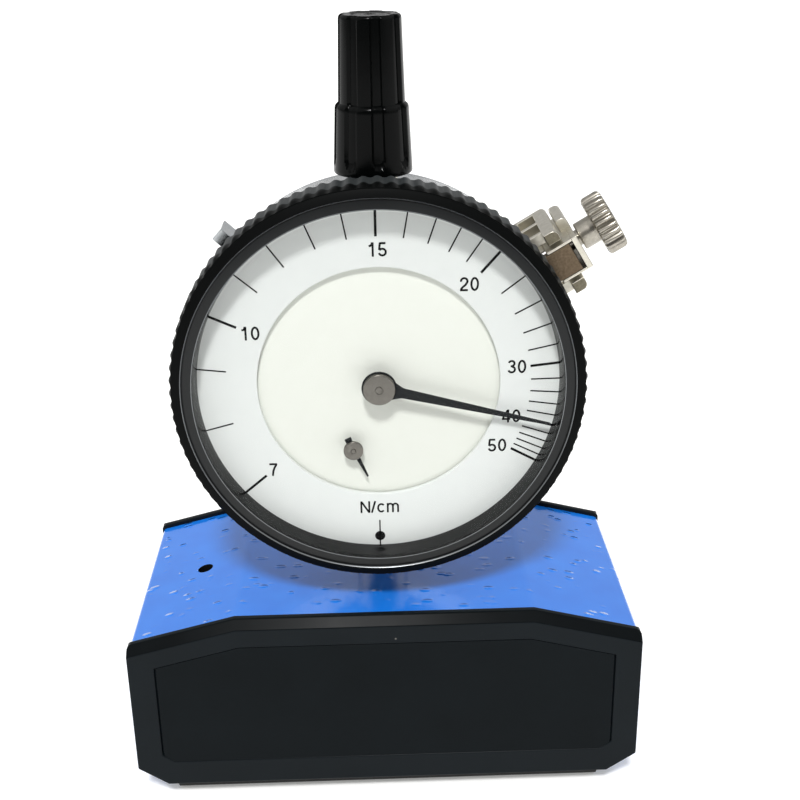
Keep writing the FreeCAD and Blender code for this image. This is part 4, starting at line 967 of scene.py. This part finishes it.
# %% [markdown]
# The turn counter's hand
#
# The small hand counts turns of the long one. It is a tapered strip with a short tail under a
# turned steel hub.

# %% Short hand
COUNTER_ANGLE = 155.3
COUNTER_L = 4.7
COUNTER_HUB_R = 1.4
counter_centre = DIAL @ Matrix.Translation((-3.84, -9.71, 0))
counter_place = counter_centre @ Matrix.Rotation(-math.radians(COUNTER_ANGLE), 4, "Z")
counter_low, counter_high = node_box("counter_pointer")
counter_front = dial_centre.y - counter_low.y
counter_back = dial_centre.y - counter_high.y
strip_front = counter_back + 0.3

shape = bmesh.new()
extruded(shape, counter_place,
         [(-0.5, -1.9), (-0.36, 0), (-0.12, COUNTER_L), (0.12, COUNTER_L), (0.36, 0),
          (0.5, -1.9)], counter_back, strip_front, 0)
turned(shape, counter_centre, [
    (0, strip_front), (COUNTER_HUB_R, strip_front), (COUNTER_HUB_R, counter_front, 0.12),
    (0.4, counter_front), (0.4, counter_front - 0.1), (0.3, counter_front - 0.1),
    (0.3, counter_front), (0, counter_front)], 56, 1)
piece("short_hand", shape, "counter", [hand_black, hub_steel],
      ["counter_pointer"], 0.04)

# %% [markdown]
# The case
#
# The gauge's case is a brass cup, chrome plated, closed by a back cover on four small screws. A
# short lug stands out on its upper left. The tubes below and above it guide the spindle.

# %% Case
case_low, case_high = node_box("dial_case")
back_high = node_box("case_back")[1]
CASE_R = 26.3
CASE_WALL = 1.7
LUG_ANGLE = 137.0
LUG_TOP_R = 29.9
LUG_HALF_W = 1.0
case_front = dial_centre.y - case_low.y
case_back = dial_centre.y - case_high.y
cover_back = dial_centre.y - back_high.y

shape = bmesh.new()
turned(shape, DIAL, [(CASE_R - CASE_WALL, case_back), (CASE_R, case_back, 0.1),
                     (CASE_R, case_front, 0.2), (CASE_R - CASE_WALL, case_front)], 160)
lug_place = DIAL @ Matrix.Rotation(math.radians(LUG_ANGLE), 4, "Z")
block(shape, lug_place, (CASE_R - 0.8, LUG_TOP_R), (-LUG_HALF_W, LUG_HALF_W), (-11.4, -6.4))
for third in range(3):
    inner_lug = DIAL @ Matrix.Rotation(2 * math.pi * third / 3, 4, "Z")
    block(shape, inner_lug, (22.1, 24.7), (-1.5, 1.5), (case_back, -8.5))
piece("case_cup", shape, "base", [chrome], ["dial_case"], 0.12)

shape = bmesh.new()
turned(shape, DIAL, [(0, case_back), (CASE_R, case_back), (CASE_R, cover_back, 0.35),
                     (CASE_R - 3.0, cover_back), (CASE_R - 3.2, cover_back + 0.12),
                     (0, cover_back + 0.12)][::-1], 160)
SCREW_CIRCLE_R = 24.2
for quarter in range(4):
    turn = math.radians(45 + 90 * quarter)
    head = DIAL @ Matrix.Translation((SCREW_CIRCLE_R * math.cos(turn),
                                      SCREW_CIRCLE_R * math.sin(turn), cover_back))
    turned(shape, head, [(0, 0.2), (1.1, 0.2), (1.1, 0.005), (0, 0.005)], 32, 1)
    # Each slot is a thin black bar flush with the cover, painted shade in place of a cut slot.
    slot = head @ Matrix.Rotation(turn * 3, 4, "Z")
    block(shape, slot, (-0.9, 0.9), (-0.13, 0.13), (0.0, 0.1), 2)
piece("case_cover", shape, "base", [chrome, ground_steel, ink_and_slot_shade_black],
      ["case_back"])

# %% Stem and neck
stem_low, stem_high = node_box("stem")
neck_low, neck_high = node_box("upper_neck")
shape = bmesh.new()
turned(shape, UPRIGHT, [(2.5, stem_low.z), (4.0, stem_low.z, 0.4), (4.0, stem_high.z),
                        (2.5, stem_high.z)], 64)
piece("stem_tube", shape, "base", [nickel], ["stem"])
shape = bmesh.new()
turned(shape, UPRIGHT, [(2.5, neck_low.z), (3.4, neck_low.z), (3.4, neck_high.z, 0.3),
                        (2.5, neck_high.z)], 64)
piece("neck_tube", shape, "base", [nickel], ["upper_neck"])

# %% [markdown]
# The dust cap
#
# A moulded cap screws over the spindle's upper end. Its skirt has eight finger flutes with
# rounded ends. A grid of rings lets the radius sink smoothly in each flute, both round the cap
# and along it, which no bevel could do as softly.

# %% Dust cap
cap_low = node_box("stem_cap")[0]
CAP_FLUTES = 8
CAP_FLUTE_TURN = 9.0
CAP_FLUTE_DEPTH = 0.45
CAP_FLUTE_HALF = 10.5
CAP_FLUTE_FLAT = 8.0
CAP_FLUTE_LOW = cap_low.z + 1.0
CAP_SIDES = 192
CAP_BORE_R = 3.4
CAP_BORE_TOP = 111.0
CAP_RINGS = [(4.6, 91.7), (5.30, 91.7), (5.47, 91.78), (5.55, 91.95)]
CAP_RINGS += [(5.55 - 0.40 * k / 20, 91.95 + 8.75 * k / 20) for k in range(1, 21)]
CAP_RINGS += [(5.08, 100.95), (4.95, 101.15), (4.75, 101.33), (4.65, 101.42), (4.63, 101.8),
              (4.31, 112.5), (4.27, 112.75), (4.16, 112.95), (3.95, 113.1), (2.9, 113.1),
              (2.75, 113.0), (0.9, 113.0), (0.8, 112.9)]


def smooth_step(value):
    value = max(0.0, min(1.0, value))
    return value * value * (3 - 2 * value)


def flute_depth(angle, z):
    """How deep a flute is at an angle in degrees and a height."""
    pitch = 360 / CAP_FLUTES
    off = abs((angle - 90 - CAP_FLUTE_TURN + pitch / 2) % pitch - pitch / 2)
    ends = z - CAP_FLUTE_LOW
    narrowed = CAP_FLUTE_HALF * math.sqrt(max(0.0, min(1.0, ends / 1.2)))
    if narrowed <= 0:
        return 0.0
    across = smooth_step((narrowed - off) / (CAP_FLUTE_HALF - CAP_FLUTE_FLAT))
    return CAP_FLUTE_DEPTH * across * smooth_step(ends / 0.7)


def cap_row(shape, radius, z, fluted):
    """One ring of corners round the cap."""
    row = []
    for k in range(CAP_SIDES):
        degrees = 360 * k / CAP_SIDES
        reach = radius - (flute_depth(degrees, z) if fluted else 0)
        turn = math.radians(degrees)
        row.append(put(shape, UPRIGHT, reach * math.cos(turn), reach * math.sin(turn), z))
    return row


shape = bmesh.new()
rows = [[put(shape, UPRIGHT, 0, 0, CAP_RINGS[-1][1])]]
rows += [cap_row(shape, radius, z, True) for radius, z in reversed(CAP_RINGS)]
rows += [cap_row(shape, CAP_BORE_R, z, False) for z in (cap_low.z, CAP_BORE_TOP)]
rows.append([put(shape, UPRIGHT, 0, 0, CAP_BORE_TOP)])
stitch(shape, rows, 0)
piece("dust_cap", shape, "base", [resin], ["stem_cap"])

# %% [markdown]
# The bezel clamp
#
# On the right a folded yoke of nickelled sheet holds a small brake block against the bezel, and a
# knurled thumb screw presses it. Arms each side tie it to the case. The clamp points outward at 31
# degrees, so it has its own axes: z outward, x along the rim and y towards the reader.

# %% Clamp axes
CLAMP_ANGLE = math.radians(31.0)
outward = Vector((math.cos(CLAMP_ANGLE), 0, math.sin(CLAMP_ANGLE)))
along_rim = Vector((-math.sin(CLAMP_ANGLE), 0, math.cos(CLAMP_ANGLE)))
CLAMP = axes(along_rim, outward.cross(along_rim), Vector((0, 0, dial_centre.z)))
CLAMP_FACE = axes(outward, along_rim, Vector((0, 0, dial_centre.z)))
CLAMP_FRONT = 8.6
CLAMP_BACK = -4.4
FOOT_FRONT = 6.5
BLOCK_HALF_W = 2.1
SHEET_T = 0.4
CHEEK_IN = 2.15
CHEEK_OUT = CHEEK_IN + SHEET_T
ARM_IN = 3.2
ARM_OUT = 4.85
ARM_TOP_R = 31.8
TAB_OUT = 4.2
YOKE_R = 32.85
YOKE_T = 0.9
FOOT_R = (26.05, 27.3)
CHEEK_R = 29.0
ARM_R = 29.8
WEB_T = 0.9

# %% Clamp frame
shape = bmesh.new()
block(shape, CLAMP, (-ARM_OUT, ARM_OUT), (CLAMP_BACK, FOOT_FRONT), FOOT_R)
block(shape, CLAMP, (-CHEEK_OUT, CHEEK_OUT), (CLAMP_BACK, CLAMP_FRONT),
      (YOKE_R, YOKE_R + YOKE_T))
for side in (-1, 1):
    cheek = sorted((side * CHEEK_IN, side * CHEEK_OUT))
    arm = sorted((side * ARM_IN, side * ARM_OUT))
    block(shape, CLAMP, cheek, (CLAMP_BACK, CLAMP_FRONT), (CHEEK_R, YOKE_R + 0.1))
    block(shape, CLAMP, cheek, (CLAMP_BACK, FOOT_FRONT), (27.0, CHEEK_R))
    tab = [(ARM_TOP_R + 0.3, side * CHEEK_IN), (YOKE_R + YOKE_T, side * CHEEK_IN),
           (YOKE_R + YOKE_T, side * TAB_OUT, 0.8), (ARM_TOP_R + 0.3, side * TAB_OUT, 0.4)]
    extruded(shape, CLAMP_FACE, tab[::side], CLAMP_BACK, CLAMP_BACK + 7.5)
    end = [(ARM_R, side * ARM_IN), (ARM_TOP_R, side * ARM_IN, 0.15),
           (ARM_TOP_R, side * ARM_OUT, 0.8), (ARM_R, side * ARM_OUT)]
    extruded(shape, CLAMP_FACE, end[::side], CLAMP_BACK, CLAMP_FRONT)
    for web in range(3):
        far = CLAMP_BACK + web * (FOOT_FRONT - CLAMP_BACK - WEB_T) / 2
        block(shape, CLAMP, arm, (far, far + WEB_T), (CASE_R, 30.0))
# The front faces of the arm ends take the darker nickel, which is painted shade.
for face in shape.faces:
    spot = CLAMP.inverted() @ (face.calc_center_median() / MM)
    if spot.y > CLAMP_FRONT - 0.01 and abs(spot.x) > ARM_IN:
        face.material_index = 1
piece("clamp_yoke", shape, "base", [nickel, arm_end_painted_shade], ["clamp_frame"], 0.22, 3)

# %% Brake block
shape = bmesh.new()
block(shape, CLAMP, (-BLOCK_HALF_W, BLOCK_HALF_W), (CLAMP_BACK, CLAMP_FRONT), (CHEEK_R, 32.4))
block(shape, CLAMP, (-BLOCK_HALF_W, BLOCK_HALF_W), (CLAMP_FRONT - 1.7, CLAMP_FRONT),
      (28.4, 29.2))
# The brake block takes the dark brown nickel, which is painted shade.
piece("brake_block", shape, "clamp_jaw", [block_nickel_painted_shade], ["clamp_block"], 0.15)

# %% [markdown]
# The thumb screw
#
# Its head is turned and straight knurled so that fingers can grip it, with both rims rounded
# over. Below it a smooth neck runs into the yoke.

# %% Thumb screw
SCREW = CLAMP @ Matrix.Translation((0, 1.9, 0))
HEAD_FROM = 36.6
HEAD_TO = 39.6
HEAD_R = 4.5
HEAD_GROOVES = 26
NECK_FROM = 34.1
shape = bmesh.new()
turned(shape, SCREW, [(0, HEAD_FROM), (3.9, HEAD_FROM, 0.2), (4.0, HEAD_FROM + 0.4),
                      (4.0, HEAD_TO - 0.4), (3.9, HEAD_TO, 0.2), (2.2, HEAD_TO, 0.2),
                      (2.0, HEAD_TO - 0.25), (0, HEAD_TO - 0.25)][::-1], 96)
knurl(shape, SCREW, HEAD_GROOVES, HEAD_R, 0.55,
      [(HEAD_FROM, 0.6), (HEAD_FROM + 0.15, 0.2), (HEAD_FROM + 0.5, 0.0), (HEAD_TO - 0.5, 0.0),
       (HEAD_TO - 0.15, 0.2), (HEAD_TO, 0.6)])
turned(shape, SCREW, [(0, NECK_FROM), (2.05, NECK_FROM, 0.2), (2.05, HEAD_FROM + 0.1),
                      (0, HEAD_FROM + 0.1)], 48)
turned(shape, SCREW, [(0, 32.4), (1.2, 32.4), (1.2, NECK_FROM + 0.1), (0, NECK_FROM + 0.1)], 32)
piece("thumb_screw", shape, "clamp_screw", [screw_nickel], ["clamp_thumb_screw"])

# %% [markdown]
# Inside the meter
#
# The frame plate, springs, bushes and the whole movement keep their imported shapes, because they
# are already cut as they are on the real thing. They only need their metals.

# %% Inner pieces
INNER = {
    frame_steel: ["base_frame", "stem_collar", "calibration_screw"],
    cover_zinc: ["bottom_cover"],
    bronze: ["left_guide_bush", "right_guide_bush"],
    spring_blue: ["left_leaf_spring", "right_leaf_spring", "hairspring"],
    ground_steel: ["guide_pins", "anvil_button", "spindle", "spindle_guide_pin",
                   "contact_point", "centre_arbor", "counter_arbor"],
    brass: ["rear_movement_plate", "front_movement_plate", "movement_pillars",
            "counter_bearing", "counter_wheel", "hairspring_wheel"],
}
for finish, nodes in INNER.items():
    for node in nodes:
        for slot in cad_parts[node].material_slots:
            slot.material = finish
print("Inner pieces finished:", sum(len(nodes) for nodes in INNER.values()))

# %% [markdown]
# Floor and light
#
# The meter stands on a plain pale sheet, so wide that it fills the view. It is a light table: it
# glows a little, so that shadows on it stay pale. The world gives a weak even light, stronger from
# behind, with two soft lobes high at the left and right that draw the light edges. One key light
# high in front gives the shadow of the rim on the dial and that of the gauge on the housing.

# %% Floor
FLOOR_HALF = 12.0
paper, tree, shader, points = new_finish(
    "pale_matt_paper",
    {"Roughness": 0.9, "Emission Color": colour("#f6f7f4"), "Emission Strength": 0.28})
tinted(tree, shader, points, 40, 2.0, "#f2f2f2", "#f6f6f5")
mesh = bpy.data.meshes.new("floor")
mesh.from_pydata([(x * FLOOR_HALF, y * FLOOR_HALF, 0) for x, y in
                  ((-1, -1), (1, -1), (1, 1), (-1, 1))], [], [(0, 1, 2, 3)])
mesh.materials.append(paper)
floor = bpy.data.objects.new("floor", mesh)
bpy.context.collection.objects.link(floor)
print("Floor is", 2 * FLOOR_HALF, "m wide")

# %% World light
LOBE = Vector((0.75, -0.26, 0.60)).normalized()
LOBE_EDGE = 0.72
LOBE_CORE = 0.95
LOBE_LIGHT = 0.9
FRONT_LIGHT = 0.08
BACK_LIGHT = 0.55

world = bpy.data.worlds.new("soft_studio")
bpy.context.scene.world = world
world.use_nodes = True
tree = world.node_tree
heading = add(tree, "SeparateXYZ", {}, {"Vector": add(tree, "TexCoord").outputs["Generated"]})
aside = add(tree, "Math", {"operation": "ABSOLUTE"})
tree.links.new(heading.outputs["X"], aside.inputs[0])
folded = add(tree, "CombineXYZ", {}, {"X": aside.outputs["Value"], "Y": heading.outputs["Y"],
                                      "Z": heading.outputs["Z"]})
facing = add(tree, "VectorMath", {"operation": "DOT_PRODUCT"})
facing.inputs[1].default_value = LOBE
tree.links.new(folded.outputs["Vector"], facing.inputs[0])
lobe = add(tree, "MapRange", {"interpolation_type": "SMOOTHSTEP", "From Min": LOBE_EDGE,
                              "From Max": LOBE_CORE, "To Max": LOBE_LIGHT},
           {"Value": facing.outputs["Value"]})
behind = add(tree, "MapRange", {"interpolation_type": "SMOOTHSTEP", "From Min": -0.2,
                                "From Max": 0.6, "To Min": FRONT_LIGHT, "To Max": BACK_LIGHT},
             {"Value": heading.outputs["Y"]})
total = add(tree, "Math", {"operation": "ADD"})
tree.links.new(lobe.outputs["Result"], total.inputs[0])
tree.links.new(behind.outputs["Result"], total.inputs[1])
tree.links.new(total.outputs["Value"], tree.nodes["Background"].inputs["Strength"])
tree.nodes["Background"].inputs["Color"].default_value = colour("#ffffff")
bpy.context.scene.view_settings.view_transform = "Standard"
print("World light, front to back:", FRONT_LIGHT, BACK_LIGHT)

# %% Key light
KEY_FROM = Vector((-0.05, -0.60, 0.76))
KEY_SPREAD = 9
KEY_STRENGTH = 2.8

key = bpy.data.lights.new("key", "SUN")
key.angle = math.radians(KEY_SPREAD)
key.energy = KEY_STRENGTH
lamp = bpy.data.objects.new("key", key)
lamp.rotation_euler = KEY_FROM.to_track_quat("Z", "Y").to_euler()
bpy.context.collection.objects.link(lamp)
print("Key light strength:", KEY_STRENGTH)
